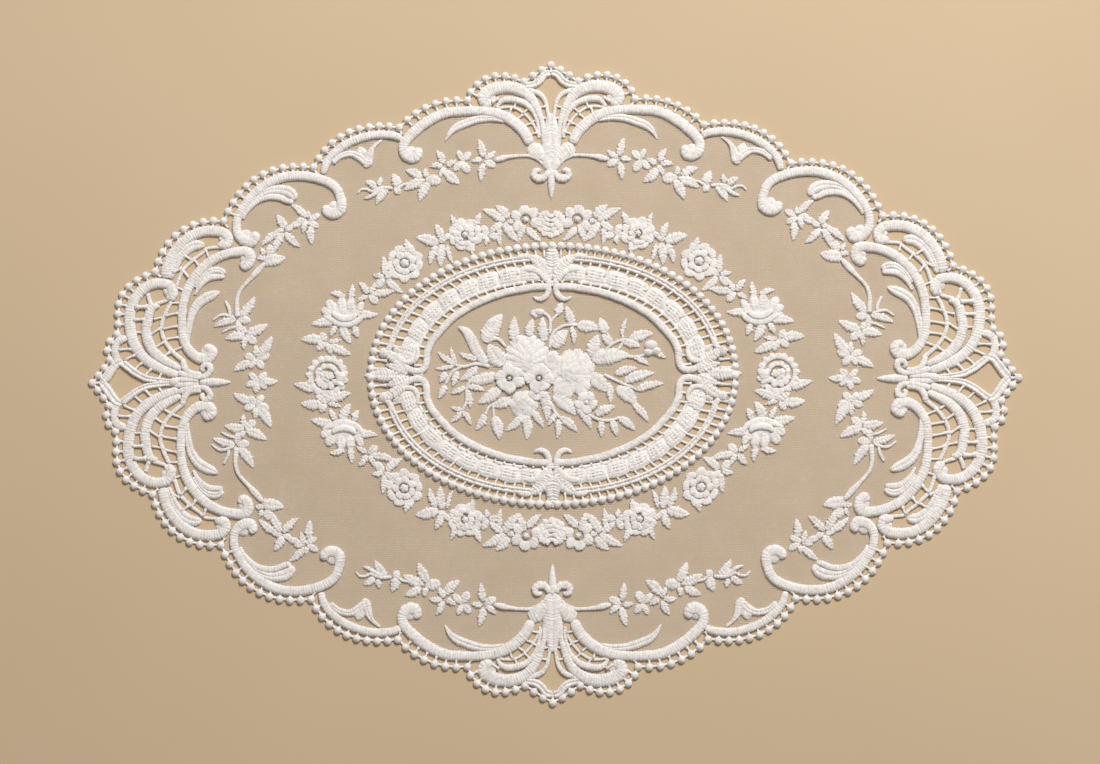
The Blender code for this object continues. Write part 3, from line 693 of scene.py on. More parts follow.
def bar(x, y, end_x, end_y, width, foot=BAR_FOOT):
    """A wrapped bar between two cords: a nearly straight thread in three stretches, with flared ends."""
    line = between((x, y), (end_x, end_y), BAR_BEND, 4)
    half = width / 2 * np.array([BAR_FLARE, 1.0, 1.0, BAR_FLARE])
    return form_along(line, half, 1.1 * half + 0.15 * width, THREAD_SECTION, foot)


def each(maker, table):
    """One form for each row of a table."""
    return [maker(*row) for row in table]


def all_of(maker, table):
    """The forms of all the blossoms in a table, in one list."""
    return [form for row in table for form in maker(*row)]


def blade(x, y, tip_x, tip_y, bend, fewest, span, early, blunt):
    """The middle line of a leaf or petal, and how wide it is there.

    As t runs over the span its width swells and closes as sin(pi t^early)^blunt. A short one still has the
    fewest steps.
    """
    length = math.hypot(tip_x - x, tip_y - y)
    line = between((x, y), (tip_x, tip_y), bend, max(round(length / STEP), fewest) + 1)
    return line, np.sin(np.pi * np.linspace(*span, len(line)) ** early) ** blunt


def leaf(x, y, tip_x, tip_y, width, bend=0.06, height=LEAF_HEIGHT, foot=FOOT, depth=0.08):
    """A pointed leaf. Its height follows the root of its swell.

    The ends of its stitches stand out by LEAF_TEETH, and by less on the narrowest leaves.
    """
    line, swell = blade(x, y, tip_x, tip_y, bend, fewest=8, span=(0.04, 0.985), early=0.8, blunt=0.75)
    heights = min(height, 0.3 * width + 0.35) * swell**0.5
    return form_along(line, width / 2 * swell, heights, VEINED, foot, slant=0.35, depth=depth,
                      teeth=LEAF_TEETH / max(width / 2, 1.4), wave=stitch_wave)


def petal(x, y, tip_x, tip_y, width, height=PETAL_HEIGHT):
    """A full petal, broadest beyond its middle. Its height follows the root of its swell."""
    line, swell = blade(x, y, tip_x, tip_y, 0.0, fewest=7, span=(0.05, 0.97), early=1.2, blunt=0.65)
    return form_along(line, width / 2 * swell, height * swell**0.5, VEINED, slant=0.2, depth=0.08,
                      teeth=0.07, wave=stitch_wave)


def spindle(x, y, tip_x, tip_y, width):
    """A smooth pointed finial, highest along its middle. Its height follows swell^0.7."""
    line, swell = blade(x, y, tip_x, tip_y, 0.0, fewest=35, span=(0.1, 0.985), early=0.8, blunt=0.6)
    return form_along(line, width / 2 * swell, LIMB_HEIGHT * swell**0.7, crowned(fullness=2.6), depth=0.03,
                      teeth=0.03)


def dome(x, y, length, width, height, turn=0.0, foot=FOOT, sectors=24, rings=7, pleats=0, depth=0.06):
    """A padded oval. From its top outwards its height is (1 - r^2.4)^(1/2), with pleats round it."""
    cos, sin = heading(turn)
    r = np.sin(np.linspace(0.06, np.pi / 2, rings))[:, None]
    angle = np.linspace(0, 2 * np.pi, sectors, endpoint=False)
    wave = np.cos(pleats * angle + 0.5 * np.sin(3 * angle)) if pleats else 0.0
    u = length / 2 * r * np.cos(angle) * (1 + 0.5 * depth * wave)
    v = width / 2 * r * np.sin(angle) * (1 + 0.5 * depth * wave)
    z = foot + height * (1 - r**2.4) ** 0.5 * (1 + depth * wave * r)
    around = angle * (length + width) / 4
    return stacked(x + u * cos - v * sin, y + u * sin + v * cos, z) * MM, stacked(around, r * width / 2)


def round_pad(x, y, radius, height, sectors, rings):
    """A dome that is as broad as it is long."""
    return dome(x, y, 2 * radius, 2 * radius, height, sectors=sectors, rings=rings)


def bead(x, y, radius, height):
    """A small knot of thread, of 50 faces: it is repeated hundreds of times."""
    return round_pad(x, y, radius, height, sectors=10, rings=4)


# -------- blossoms


def frill(x, y, radius, start, stop, near, far, lobes, notch, height, foot):
    """A ruffled band on an arc about (x, y), between two reaches that are shares of the radius.

    Its outer edge swells into round lobes, and a crease runs inwards between each two of them. Quarter
    circles close the ends of a band that is not a whole ring.
    """
    across, lift = PRESSED
    near, far = near * radius, far * radius
    half = (far - near) / 2
    steps = max(round(math.radians(stop - start) * far / STEP), 8)
    angle = np.radians(np.linspace(start, stop, steps + 1))[:, None]
    valley = 1 - lobed(angle - angle[0] - np.pi / lobes, lobes)
    from_end = np.minimum(angle - angle[0], angle[-1] - angle) * far + 0.1 * half
    closing = rounded(from_end / half) if stop - start < 359 else 1.0
    outer = np.clip(-across, 0, 1)
    run = angle * far
    ridges = 1 + 0.08 * stitch_wave(run)
    uneven = 0.1 * np.sin(2.3 * lobes * angle / np.pi + x)
    reach = (near + far) / 2 - across * half * closing * ridges
    reach = reach + 2 * half * (uneven - notch * valley) * outer**1.5
    creased = 1 - (0.3 + notch) * valley * (0.4 + 0.6 * outer)
    z = foot + height * closing * lift * creased * ridges
    return stacked(x + reach * np.cos(angle), y + reach * np.sin(angle), z) * MM, stacked(run, reach)


def ruffle(x, y, radius, turn, lobes, notch, height, foot, lean):
    """A ring of petals grown together: a low dome with round lobes at its rim and creases between them.

    From its pole to its rim r goes from 0 to 1, and its height is (1 - r^7)^(1/2). The pole leans off the
    middle by a share of the radius in the direction of turn, so the stitches fan out from there.
    """
    cos, sin = heading(turn)
    sectors = max(round(2 * np.pi * radius / STEP), 24)
    r = np.array([0.06, 0.2, 0.38, 0.56, 0.72, 0.84, 0.92, 0.97, 1.0])[:, None]
    angle = np.linspace(0, 2 * np.pi, sectors, endpoint=False)
    valley = 1 - lobed(angle + 0.12 * np.sin(2 * angle + turn), lobes)
    run = angle * radius
    wave = stitch_wave(run)
    reach = radius * r * (1 - notch * valley * r**3 + 0.03 * wave * r**3)
    shift = lean * radius * (1 - r)
    crown = (1 - (0.99 * r) ** 7) ** 0.5 * (0.8 + 0.2 * np.sin(np.pi * r) - (0.2 + notch) * valley * r**2)
    z = foot + height * crown * (1 + 0.045 * wave * r)
    x = x + reach * np.cos(angle) + shift * cos
    y = y + reach * np.sin(angle) + shift * sin
    return stacked(x, y, z) * MM, stacked(run, reach)


def rose(x, y, radius, kind, turn, ball):
    """A full blossom: frills on arcs about its middle, then a ball in the moat they leave.

    A frill's row: start and stop in degrees, near and far reach, lobes in a whole turn, notch, height, foot,
    and how far its own middle is moved along the turn and across it. Reaches and moves are shares of the
    radius.
    """
    cos, sin = heading(turn)
    forms = []
    for start, stop, near, far, lobes, notch, height, foot, along, across in kind:
        middle_x = x + radius * (along * cos - across * sin)
        middle_y = y + radius * (along * sin + across * cos)
        forms.append(frill(middle_x, middle_y, radius, start + turn, stop + turn, near, far, lobes, notch,
                           height, foot))
    if ball:
        forms.append(dome(x, y, 2 * ball * radius, 1.8 * ball * radius, BALL_HEIGHT, foot=LOW_FOOT,
                          sectors=20, rings=6, pleats=5, depth=0.2))
    return forms


def peony(x, y, radius, lobes, turn, lean):
    """A large blossom of four ruffles, one on the other, that lean together towards its turn."""
    cos, sin = heading(turn)
    forms = []
    for share, height, foot, notch in PEONY_LAYERS:
        move = (1 - share) * lean * radius
        forms.append(ruffle(x + move * cos, y + move * sin, share * radius, turn,
                            round(lobes * (0.4 + 0.6 * share)), notch, height, foot, lean))
    return forms


def flower(middle, petals, leaves):
    """A small flower: full petals that start at its middle, then its leaves."""
    x, y = middle
    forms = []
    for petal_x, petal_y, radius in petals:
        reach = math.hypot(petal_x - x, petal_y - y)
        cos, sin = (petal_x - x) / reach, (petal_y - y) / reach
        near, far = max(reach - 2.2 * radius, 0.1), reach + 1.1 * radius
        forms.append(petal(x + near * cos, y + near * sin, x + far * cos, y + far * sin, 1.9 * radius,
                           FLOWER_PETAL_HEIGHT))
    return forms + each(leaf, leaves)


# -------- mirror images


def mirrored(form, sign_x, sign_y):
    """The form's mirror image; its rings run the other way where that keeps its faces outwards."""
    points, stitches = form
    points = points * np.array([sign_x, sign_y, 1.0])
    if sign_x * sign_y > 0:
        return points, stitches
    return points[:, ::-1], stitches[:, ::-1]


def images(forms, signs=QUARTERS):
    """The forms and their mirror images: in all four quarters, or RIGHT_LEFT, or UP_DOWN."""
    return [mirrored(form, *sign) for sign in signs for form in forms]


def about_medallion(forms, signs=QUARTERS):
    """The same about the medallion's own middle."""
    middle = np.append(MEDALLION_CENTRE, 0.0) * MM
    return [(points + middle, stitches) for points, stitches in images(forms, signs)]


def tilted_down(form):
    """The form moved to the lower garland: mirrored about a line that rises towards the sides."""
    points, stitches = mirrored(form, 1, -1)
    middle, rise, reach = GARLAND_AXIS
    axis = (middle + rise * (points[..., 0] / MM / reach) ** 2) * MM
    points[..., 1] += 2 * axis
    return points, stitches


def above_and_below(forms):
    """The forms of the upper garland, then the same in the lower one."""
    return forms + [tilted_down(form) for form in forms]


# -------- meshes


def placed(name, data, place=(0, 0, 0), turn=(0, 0, 0)):
    """An object in the scene, moved and turned."""
    thing = bpy.data.objects.new(name, data)
    thing.location = place
    thing.rotation_euler = turn
    bpy.context.scene.collection.objects.link(thing)
    return thing


def mesh_object(name, points, faces, stitches, material):
    """A smooth mesh from points, a list of face arrays and each point's place in its stitches."""
    mesh = bpy.data.meshes.new(name)
    corners = np.concatenate([rows.ravel() for rows in faces]).astype(np.int32)
    sizes = np.concatenate([np.full(len(rows), rows.shape[1]) for rows in faces])
    mesh.vertices.add(len(points))
    mesh.vertices.foreach_set("co", points.ravel())
    mesh.loops.add(len(corners))
    mesh.loops.foreach_set("vertex_index", corners)
    mesh.polygons.add(len(sizes))
    mesh.polygons.foreach_set("loop_start", np.r_[0, sizes.cumsum()[:-1]].astype(np.int32))
    mesh.polygons.foreach_set("use_smooth", np.ones(len(sizes), dtype=bool))
    mesh.uv_layers.new(name="stitches").data.foreach_set("uv", stitches[corners].ravel())
    mesh.update(calc_edges=True)
    mesh.materials.append(material)
    return placed(name, mesh)


def numbered(first, rings, around):
    """The numbers of the points in a stack of rings, row by row from first."""
    return first + np.arange(rings * around).reshape(rings, around)


def ring_quads(index):
    """The faces between each ring and the next."""
    after = np.roll(index, -1, axis=1)
    return np.stack([index[:-1], index[1:], after[1:], after[:-1]], axis=-1).reshape(-1, 4)


def fan(pole, ring):
    """The triangles from a pole to each two neighbours on a ring."""
    return np.stack([np.full(len(ring), pole), ring, np.roll(ring, -1)], axis=-1)


def stitched(name, forms, material):
    """One piece from many forms, with a point that closes each form at either end."""
    points, stitches, quads, triangles = [], [], [], []
    first = 0
    for rings, places in forms:
        index = numbered(first, *rings.shape[:2])
        first += index.size + 2
        quads.append(ring_quads(index))
        triangles += [fan(first - 2, index[0]), fan(first - 1, index[-1])[:, [0, 2, 1]]]
        points += [rings.reshape(-1, 3), rings[0].mean(axis=0)[None], rings[-1].mean(axis=0)[None]]
        stitches += [places.reshape(-1, 2), places[0].mean(axis=0)[None], places[-1].mean(axis=0)[None]]
    faces = [np.vstack(quads), np.vstack(triangles)]
    piece = mesh_object(name, np.vstack(points), faces, np.vstack(stitches), material)
    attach(piece, "root")


# -------- materials


def add(tree, kind, inputs=None, **settings):
    """A node with its settings. An input gets a value of its own, or a link from another node's socket."""
    node = tree.nodes.new(kind)
    for name, value in settings.items():
        setattr(node, name, value)
    for name, value in (inputs or {}).items():
        if isinstance(value, bpy.types.NodeSocket):
            tree.links.new(value, node.inputs[name])
        else:
            node.inputs[name].default_value = value
    return node


def math_node(tree, operation, *inputs):
    """The result of a Math node. Each input is a number or another node's socket."""
    return add(tree, "ShaderNodeMath", dict(enumerate(inputs)), operation=operation).outputs[0]


def object_place(tree):
    """A point's place on the piece itself, in metres."""
    return add(tree, "ShaderNodeTexCoord").outputs["Object"]


def noise(tree, scale, detail):
    """Noise on the piece's own coordinates, with this scale a metre."""
    inputs = {"Vector": object_place(tree), "Scale": scale, "Detail": detail}
    return add(tree, "ShaderNodeTexNoise", inputs).outputs["Fac"]


def new_material(name, roughness, specular):
    """A material with its node tree and its shader."""
    material = bpy.data.materials.new(name)
    material.use_nodes = True
    shader = material.node_tree.nodes["Principled BSDF"]
    shader.inputs["Roughness"].default_value = roughness
    shader.inputs["Specular IOR Level"].default_value = specular
    return material, material.node_tree, shader


def tint(tree, shader, shade, dark, light):
    """The shader's colour: from dark to light with the shade."""
    colours = add(tree, "ShaderNodeMix", {"Factor": shade, "A": dark, "B": light}, data_type="RGBA")
    tree.links.new(colours.outputs["Result"], shader.inputs["Base Color"])


def stitch_group():
    """Satin stitch: the ridges of the mesh again, with fine threads on them.

    Along is the distance run in millimetres. With the same Ridge Pitch as in stitch_wave, the ridges fall
    on those of the mesh. Threads are a finer sine, which a noise shifts by its Unevenness, and the input
    for the grooves deepens what is between two ridges, (1/2 - cos/2)^3, in the bump and as painted shade.
    Height is for a Bump node. Shade is 1 on the ridges and falls towards 0 in the grooves, as painted shade,
    and a little with the threads, as painted shade too; random patches of tone lower it as well.
    """
    group = bpy.data.node_groups.new("satin stitches", "ShaderNodeTree")
    for name in ("Along", *STITCH_INPUTS):
        group.interface.new_socket(name, in_out="INPUT", socket_type="NodeSocketFloat")
    for name in ("Height", "Shade"):
        group.interface.new_socket(name, in_out="OUTPUT", socket_type="NodeSocketFloat")
    along, ridge_pitch, thread_pitch, unevenness, depth = list(add(group, "NodeGroupInput").outputs)[:5]
    calc = partial(math_node, group)
    wander = 0.0
    for size, rate, start in WANDER:
        wander = calc("MULTIPLY_ADD", calc("SINE", calc("MULTIPLY_ADD", along, rate, start)), size, wander)
    around = calc("MULTIPLY", calc("DIVIDE", along, ridge_pitch), 2 * math.pi)
    ridge = calc("COSINE", calc("ADD", around, wander))
    # How deep the grooves between ridges are: in the bump, and as painted shade in the colour.
    groove = calc("MULTIPLY", calc("POWER", calc("MULTIPLY_ADD", ridge, -0.5, 0.5), 3.0), depth)
    wobble = calc("SUBTRACT", noise(group, scale=700.0, detail=2.0), 0.5)
    shift = calc("MULTIPLY", calc("MULTIPLY", wobble, unevenness), 4.0)
    turns = calc("ADD", calc("DIVIDE", along, thread_pitch), shift)
    threads = calc("SINE", calc("MULTIPLY", turns, 2 * math.pi))
    mottled = calc("MULTIPLY_ADD", wobble, 1.6, noise(group, scale=220.0, detail=3.0))
    relief = calc("MULTIPLY_ADD", threads, 0.3, calc("MULTIPLY", groove, -2.0))
    # The colour: random patches of tone, less painted shade in the grooves, then a little painted shade with
    # the threads.
    tone_less_groove_shade = calc("SUBTRACT", calc("MULTIPLY_ADD", mottled, 0.9, 0.45), groove)
    shade = calc("MULTIPLY_ADD", threads, 0.06, tone_less_groove_shade)
    add(group, "NodeGroupOutput", {"Height": calc("ADD", relief, mottled), "Shade": shade})
    return group


def cotton(name, group, finish, bump, roughness):
    """White cotton: the colour runs from dark to light with the group's shade, which is painted shade in the
    grooves and with the threads, and random tone in patches; its threads stand out.
    """
    material, tree, shader = new_material(name, roughness, specular=0.3)
    shader.inputs["Sheen Weight"].default_value = 0.15
    shader.inputs["Sheen Roughness"].default_value = 0.5
    shader.inputs["Subsurface Weight"].default_value = 0.0
    places = add(tree, "ShaderNodeUVMap", uv_map="stitches").outputs["UV"]
    along = add(tree, "ShaderNodeSeparateXYZ", {"Vector": places}).outputs["X"]
    inputs = {"Along": along, **dict(zip(STITCH_INPUTS, finish))}
    threads = add(tree, "ShaderNodeGroup", inputs, node_tree=group).outputs
    tint(tree, shader, threads["Shade"], SHADE_AND_PATCH_COTTON, WHITE_COTTON)
    relief = {"Height": threads["Height"], "Strength": bump, "Distance": BUMP_DISTANCE}
    tree.links.new(add(tree, "ShaderNodeBump", relief).outputs["Normal"], shader.inputs["Normal"])
    return material


def net_cotton():
    """Hexagonal net: threads lie where a point is nearly as far from one cell's middle as from the next.

    The middles are two square-cornered lattices, one shifted by half a cell; the distance to a hexagon's
    edge is the larger of |x| and |x|/2 + |y| sqrt(3)/2, from the nearer middle. One noise pulls the cells
    up to 0.6 of their width to either side, and a finer one makes their threads thicker and thinner.
    """
    material, tree, shader = new_material("net cotton", roughness=0.85, specular=0.2)
    calc = partial(math_node, tree)
    patches = noise(tree, scale=90.0, detail=4.0)
    drift = calc("MULTIPLY_ADD", patches, 1.2, -0.6)
    place = add(tree, "ShaderNodeSeparateXYZ", {"Vector": object_place(tree)}).outputs
    x = calc("ADD", calc("DIVIDE", place["X"], NET_CELL * MM), drift)
    y = calc("ADD", calc("DIVIDE", place["Y"], NET_CELL * math.sqrt(3) * MM), calc("MULTIPLY", drift, 0.6))
    hexes = []
    for shift in (0.0, 0.5):
        u, v = [calc("ABSOLUTE", calc("SUBTRACT", calc("FRACT", calc("ADD", cell, shift)), 0.5))
                for cell in (x, y)]
        hexes.append(calc("MAXIMUM", u, calc("MULTIPLY_ADD", v, 1.5, calc("MULTIPLY", u, 0.5))))
    slack = calc("MULTIPLY_ADD", noise(tree, scale=420.0, detail=2.0), *NET_SLACK)
    thread = calc("GREATER_THAN", calc("MINIMUM", *hexes), slack)
    tree.links.new(thread, shader.inputs["Alpha"])
    tint(tree, shader, patches, DARK_NET, LIGHT_NET)
    return material


def floor_material():
    """A plain pale floor, a little uneven in tone."""
    material, tree, shader = new_material("plain pale floor", roughness=0.8, specular=0.2)
    tint(tree, shader, noise(tree, scale=6.0, detail=4.0), DARK_FLOOR, LIGHT_FLOOR)
    return material


# -------- the net


def net_reach(angles):
    """How far the net goes in each direction: to the middle of the farthest arch of the border there."""
    arches = [even_line(QUARTER_SCROLLS[name])[:, :2] for name in NET_EDGE_SCROLLS]
    arches = np.vstack(arches + [np.array(NET_EDGE_ENDS)])
    turn = np.arctan2(arches[:, 1], arches[:, 0])
    slots = np.linspace(0, np.pi / 2, 121)
    reach = np.zeros(len(slots))
    np.maximum.at(reach, np.abs(slots[:, None] - turn).argmin(axis=0), np.hypot(*arches.T))
    known = reach > 0
    folded = np.arctan2(np.abs(np.sin(angles)), np.abs(np.cos(angles)))
    return np.interp(folded, slots[known], reach[known])


def make_net(material):
    """The net: a ring from the bead row to the arches, and a disc inside the medallion's inner cord.

    Both are grids of turn and reach. Their height waves a little with the sines of x and y.
    """
    angles = np.linspace(0, 2 * np.pi, NET_COLUMNS, endpoint=False)
    direction = np.stack([np.cos(angles), np.sin(angles)], axis=1)
    inner, rim = [MEDALLION_CENTRE + direction * oval_reach(oval, angles)[:, None]
                  for oval in (BEAD_OVAL, INNER_OVAL)]
    outer = direction * net_reach(angles)[:, None]
    ring = inner + (outer - inner) * np.linspace(0, 1, NET_RING_ROWS)[:, None, None]
    disc = MEDALLION_CENTRE + (rim - MEDALLION_CENTRE) * np.linspace(0.01, 1, NET_DISC_ROWS)[:, None, None]
    x, y = np.concatenate([ring, disc]).reshape(-1, 2).T
    z = NET_HEIGHT + NET_WAVE * np.sin(x / 9 + 1.3 * np.sin(y / 23)) * np.sin(y / 11 + np.sin(x / 31))
    points = np.vstack([np.stack([x, y, z], axis=1), [*MEDALLION_CENTRE, NET_HEIGHT]]) * MM
    ring_index = numbered(0, NET_RING_ROWS, NET_COLUMNS)
    disc_index = numbered(ring_index.size, NET_DISC_ROWS, NET_COLUMNS)
    faces = [ring_quads(ring_index), ring_quads(disc_index), fan(len(points) - 1, disc_index[0])]
    net = mesh_object("net", points, faces, points[:, :2] / MM, material)
    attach(net, "root")
    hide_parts("doily")
    return net


# -------- the pieces of the border


def make_scrolls(material):
    """The padded scrolls, and the low pads in their curled ends."""
    forms = cords(QUARTER_SCROLLS.values(), step=SCROLL_STEP)
    forms += [round_pad(*row, CURL_PAD_HEIGHT, sectors=20, rings=5) for row in QUARTER_CURL_PADS]
    stitched("border_scrolls", images(forms), material)


def make_feathers(material):
    """The feathers on the scrolls, and the palmettes at the foot of the head and of the tip."""
    forms = []
    for stations in QUARTER_FEATHERS:
        broadest = max(width for _, _, width in stations)
        forms.append(cord(stations, SLIM_HEIGHT, CREASED if broadest > BROAD_FEATHER else CROWNED))
    forms.append(leaf(*QUARTER_FEATHER_CREST, bend=0.0, height=BAND_HEIGHT))
    forms += cords(QUARTER_VOLUTES, teeth=0.07)
    forms.append(cord(HEAD_EAR, BAND_HEIGHT, wave=stitch_wave, depth=0.12))
    forms += cords(TIP_LIMBS, LIMB_HEIGHT)
    trunk = cord(HEAD_TRUNK, SLIM_HEIGHT, CREASED, slant=-0.3, wave=stitch_wave, depth=0.1)
    whole = images(forms) + images([spindle(*HEAD_SPINDLE), trunk], UP_DOWN)
    whole += images([spindle(*TIP_SPINDLE), dome(*TIP_KNOB)], RIGHT_LEFT)
    stitched("border_feathers", whole, material)


def make_border_cords(material):
    """The furrowed cords round the star-shaped openings, and the plain ones beside the scrolls."""
    forms = cords(QUARTER_STAR_CORDS, LIMB_HEIGHT, section=SHALLOW_FURROWED)
    forms += cords(QUARTER_SLIM_CORDS, SLIM_HEIGHT)
    stitched("border_cords", images(forms), material)


def make_bars(material):
    """The wrapped bars of the ladders."""
    stitched("border_bars", images(each(bar, QUARTER_BARS)), material)


def picot_line():
    """The middles of a quarter's picots: even steps along each scallop's cubic curve, one to a picot."""
    ends = [row[0] for row in SCALLOPS[1:]] + [TIP_PICOT]
    t = np.linspace(0, 1, 61)[:, None]
    weights = ((1 - t) ** 3, 3 * (1 - t) ** 2 * t, 3 * (1 - t) * t**2, t**3)
    middles = []
    for (start, first, second, picots), end in zip(SCALLOPS, ends):
        curve = sum(w * np.array(p) for w, p in zip(weights, (start, first, second, end)))
        middles.append(recut(curve, lengths(curve)[-1] / picots)[:-1])
    return np.vstack(middles + [np.array([TIP_PICOT])])


def threaded(base):
    """Short threads that lie low, from each point of a line to the next."""
    return [bar(*start, *end, THREAD_WIDTH, foot=LOW_FOOT) for start, end in zip(base, base[1:])]


def make_picots(bead_material, thread_material):
    """The picots, the thread that joins them and the bars that tie each one to the border."""
    line = picot_line()
    inwards = -leftwards(line)
    inwards[[0, -1]] = (0.0, -1.0), (-1.0, 0.0)
    knots = [bead(x, y, PICOT_RADIUS, PICOT_HEIGHT) for x, y in line]
    beads = images(knots[1:-1]) + images(knots[:1], UP_DOWN) + images(knots[-1:], RIGHT_LEFT)
    stitched("picots", beads, bead_material)
    starts, ends = line + PICOT_TIE_START * inwards, line + PICOT_TIE_END * inwards
    ties = [bar(*start, *end, TIE_WIDTH) for start, end in zip(starts, ends)]
    stitched("picot_ties", images(ties + threaded(line + PICOT_THREAD_INSET * inwards)), thread_material)


# -------- the pieces of the field


def make_sprigs(material):
    """The stems and flowers on the net."""
    forms = cords(QUARTER_SPRIG_STEMS, STEM_HEIGHT) + all_of(flower, QUARTER_SPRIG_FLOWERS)
    stitched("sprigs", images(forms) + images(flower(*HALF_SPRIG_FLOWER), RIGHT_LEFT), material)


def make_garland(leaf_material, rose_material):
    """The garland's small flowers and leaves, then its roses and the rosebud with its cup."""
    forms = all_of(flower, QUARTER_GARLAND_FLOWERS) + each(leaf, QUARTER_GARLAND_LEAVES)
    whole = above_and_below(images(forms, RIGHT_LEFT))
    whole += images([leaf(*HALF_GARLAND_LEAF)], RIGHT_LEFT)
    stitched("garland_leaves", whole, leaf_material)
    blossoms = all_of(rose, QUARTER_GARLAND_ROSES) + each(petal, QUARTER_BUD_PETALS)
    blossoms.append(dome(*QUARTER_BUD_BASE, pleats=12))
    blossoms += [cord(QUARTER_BUD_BAND, BAND_HEIGHT), cord(QUARTER_BUD_CUP, SLIM_HEIGHT, foot=HIGH_FOOT)]
    whole = above_and_below(images(blossoms, RIGHT_LEFT)) + above_and_below(rose(*TOP_ROSE))
    stitched("garland_roses", whole + images(rose(*SIDE_ROSE), RIGHT_LEFT), rose_material)


# -------- the medallion


def make_medallion_cords(material):
    """The furrowed cord round the braid, the twisted inner cord, short cords and hooks."""
    forms = [oval_cord(TWIN_OVAL, *TWIN_ENDS, TWIN_WIDTH, FURROWED),
             cord(QUARTER_INNER_CORD, twist=0.45, depth=0.07)]
    forms += cords(QUARTER_MEDALLION_CORDS, LIMB_HEIGHT)
    forms += cords(QUARTER_MEDALLION_HOOKS, OVAL_CORD_HEIGHT, foot=HIGH_FOOT)
    stitched("medallion_cords", about_medallion(forms), material)


def braid(line, half_width):
    """A flat braid of oval rosettes, one about every ROSETTE_PITCH, with scalloped outer edges.

    In each rosette u goes from -1 to 1 along it and v from -1 to 1 across it. It is a low dome that falls as
    |u|^6 to a seam between two, a little aslant, and its edges are pleated. Rows of short dashes are pressed
    into it where the product of two waves, along and across, is high; every other row is shifted by half a
    dash, and they fade out towards its rim.
    """
    across = np.linspace(-1, 1, 31)
    section = closed_section(across, (1 - np.abs(across) ** 8) ** 0.5)
    run, v = lengths(line)[:, None], section[0]
    rosettes = round(lengths(line)[-1] / ROSETTE_PITCH)
    place = run / run[-1] * rosettes * 0.999 + 0.05 * v
    u = 2 * (place - np.floor(place)) - 1
    points, places = form_along(line, np.full(len(line), half_width), np.full(len(line), BRAID_HEIGHT),
                                section, depth=0.01, teeth=0.005)
    swell = (1.2 * np.cos(np.pi * u / 2) ** 0.6 - 0.7) * np.clip(v, 0, 1) ** 2
    points[..., :2] += leftwards(line)[:, None] * swell[..., None] * MM
    from_middle = np.hypot(u, 1.05 * v)
    rows = np.clip(np.cos(2 * np.pi * DASH_ROWS * v + 0.6 * np.sin(0.9 * run)), 0, 1)
    shift = np.pi * np.round(2 * DASH_ROWS * v)
    dashes = np.cos(2 * np.pi * run / DASH_PITCH + shift + 1.4 * v + 1.1 * np.sin(1.7 * run + 3 * v))
    pits = rows * np.clip(dashes + 0.2, 0, 1) * np.exp(-((from_middle / 0.82) ** 6))
    pleats = np.cos(2 * np.pi * run / PLEAT_PITCH + 2 * v) * np.clip(from_middle - 0.7, 0, 0.3)
    top = (points[..., 2] > 2 * FOOT * MM) * (np.abs(v) < 0.9)
    relief = 0.35 * (1 - from_middle**2) - 0.5 * np.abs(u) ** 6 - 0.9 * pits + 0.5 * pleats
    points[..., 2] += top * np.clip(relief, -1.1, 1.0) * MM
    return points, places


def make_braid(material):
    """The braid of each quarter, with a thin cord along its inner edge."""
    line = oval_quarter(BRAID_OVAL, *BRAID_ENDS, step=BRAID_STEP)
    forms = [braid(line, BRAID_HALF_WIDTH), oval_cord(BRAID_EDGE_OVAL, *BRAID_EDGE_ENDS, BRAID_EDGE_WIDTH)]
    stitched("medallion_braid", about_medallion(forms), material)


def rungs(outer, inner, pitch):
    """Bars straight across between two ovals, an even pitch apart along the outer one, all round.

    A palmette covers the bar that falls right on the X axis, so that one is left out.
    """
    starts = oval_ring(outer, pitch)
    starts = starts[starts[:, 1] != 0]
    turn = np.arctan2(starts[:, 1], starts[:, 0])
    ends = np.stack([np.cos(turn), np.sin(turn)], axis=1) * oval_reach(inner, turn)[:, None]
    return [bar(*start, *end, TIE_WIDTH)
            for start, end in zip(starts + MEDALLION_CENTRE, ends + MEDALLION_CENTRE)]


def make_medallion_beads(bead_material, thread_material):
    """The bead row on its thread, a bar from each bead inwards, and the ladders beside the braid."""
    beads = [bead(x, y, OVAL_BEAD_RADIUS, OVAL_BEAD_HEIGHT)
             for x, y in oval_ring(BEAD_OVAL, OVAL_BEAD_PITCH) + MEDALLION_CENTRE]
    stitched("medallion_beads", beads, bead_material)
    base = oval_ring(BEAD_THREAD_OVAL, OVAL_BEAD_PITCH) + MEDALLION_CENTRE
    ties = threaded(np.vstack([base, base[:1]]))
    for outer, inner, pitch in MEDALLION_LADDERS:
        ties += rungs(outer, inner, pitch)
    stitched("medallion_ties", ties, thread_material)


def make_medallion_palmettes(material):
    """A ribbed, pointed leaf at each end of the oval's axes, with ribbed wings and pads at its foot."""
    forms = [leaf(*row, height=SLIM_HEIGHT, foot=HIGH_FOOT, depth=0.2) for row in QUARTER_MEDALLION_WINGS]
    forms += [dome(*row, pleats=9, sectors=36, depth=0.12) for row in QUARTER_MEDALLION_PADS]
    whole = about_medallion(forms)
    for row, height, signs in HALF_MEDALLION_LEAVES:
        whole += about_medallion([leaf(*row, bend=0.0, height=height, foot=0.3, depth=0.3)], signs)
    stitched("medallion_palmettes", whole, material)


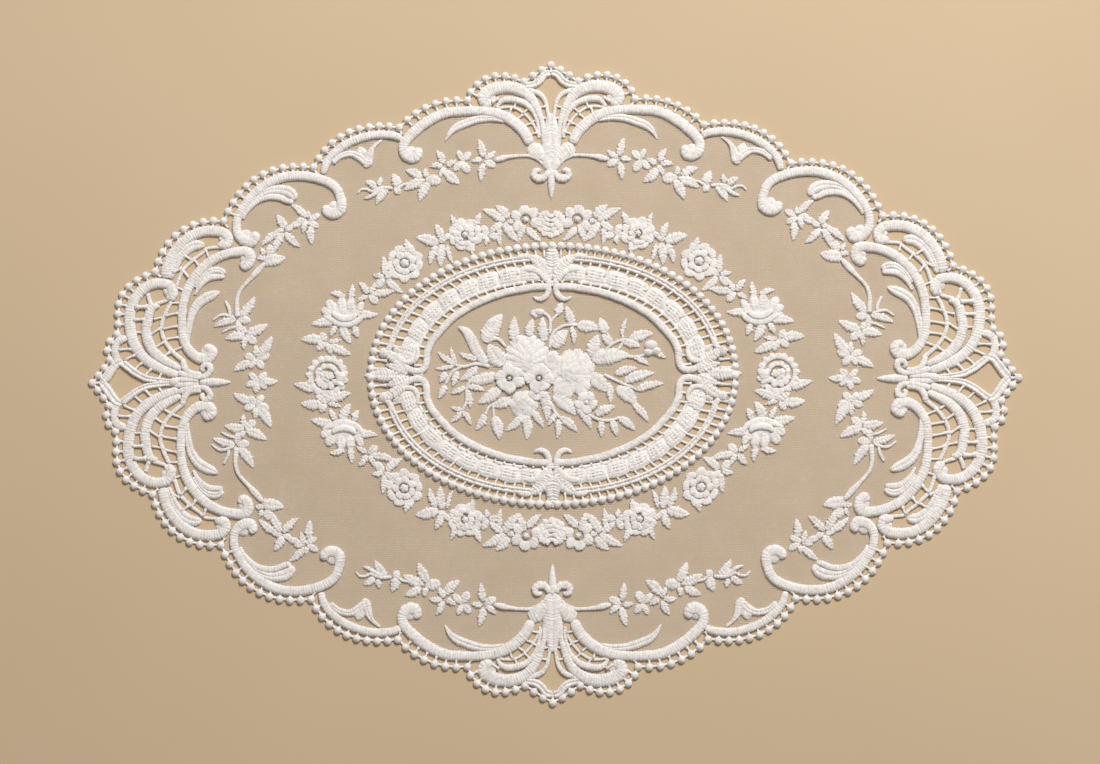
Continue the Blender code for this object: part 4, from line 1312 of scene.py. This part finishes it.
def make_bouquet(leaf_material, petal_material):
    """Its leaves, stems and buds, then its peonies, ruffles and small blossoms."""
    forms = each(leaf, BOUQUET_LEAVES) + cords(BOUQUET_STEMS, STEM_HEIGHT)
    forms += [dome(x, y, 2 * radius, 1.6 * radius, BUD_HEIGHT) for x, y, radius in BOUQUET_BUDS]
    stitched("bouquet_leaves", forms, leaf_material)
    blossoms = all_of(peony, BOUQUET_PEONIES) + each(ruffle, BOUQUET_RUFFLES)
    blossoms += all_of(rose, BOUQUET_BLOSSOMS)
    stitched("bouquet_blossoms", blossoms, petal_material)


# -------- stage


def make_camera():
    camera = bpy.data.cameras.new("camera")
    camera.sensor_width = 36.0
    camera.lens = CAMERA_LENS
    camera.clip_start = 0.01
    camera.clip_end = 100.0
    view = placed("camera", camera, [value * MM for value in CAMERA_PLACE],
                  [math.radians(value) for value in CAMERA_TURN])
    bpy.context.scene.camera = view


def make_floor(material):
    corners = FLOOR_HALF * np.array([(-1, -1, 0), (1, -1, 0), (1, 1, 0), (-1, 1, 0)], dtype=float)
    floor = mesh_object("floor", corners, [np.array([[0, 1, 2, 3]])], corners[:, :2], material)


def make_light():
    """A soft lamp above and beyond the doily, and a pale sky that fills the shadows."""
    lamp = bpy.data.lights.new("window", "AREA")
    lamp.shape = "DISK"
    lamp.size = LAMP_SIZE
    lamp.energy = LAMP_POWER
    lamp.color = LAMP_COLOUR
    placed("window", lamp, LAMP_PLACE, (-Vector(LAMP_PLACE)).to_track_quat("-Z", "Y").to_euler())
    world = bpy.data.worlds.new("soft fill")
    world.use_nodes = True
    sky = world.node_tree.nodes["Background"]
    sky.inputs["Color"].default_value = SKY_COLOUR
    sky.inputs["Strength"].default_value = SKY_STRENGTH
    bpy.context.scene.world = world
    bpy.context.scene.view_settings.view_transform = "Standard"


def main():
    make_camera()
    make_light()
    make_floor(floor_material())
    group = stitch_group()
    satin, smooth, padded, thread, knot = [cotton(name, group, *finish) for name, *finish in COTTONS]
    net = make_net(net_cotton())
    make_scrolls(padded)
    make_feathers(padded)
    make_border_cords(padded)
    make_bars(thread)
    make_picots(knot, thread)
    make_sprigs(satin)
    make_garland(satin, smooth)
    make_medallion_cords(padded)
    make_braid(knot)
    make_medallion_beads(knot, thread)
    make_medallion_palmettes(satin)
    make_bouquet(satin, smooth)


main()
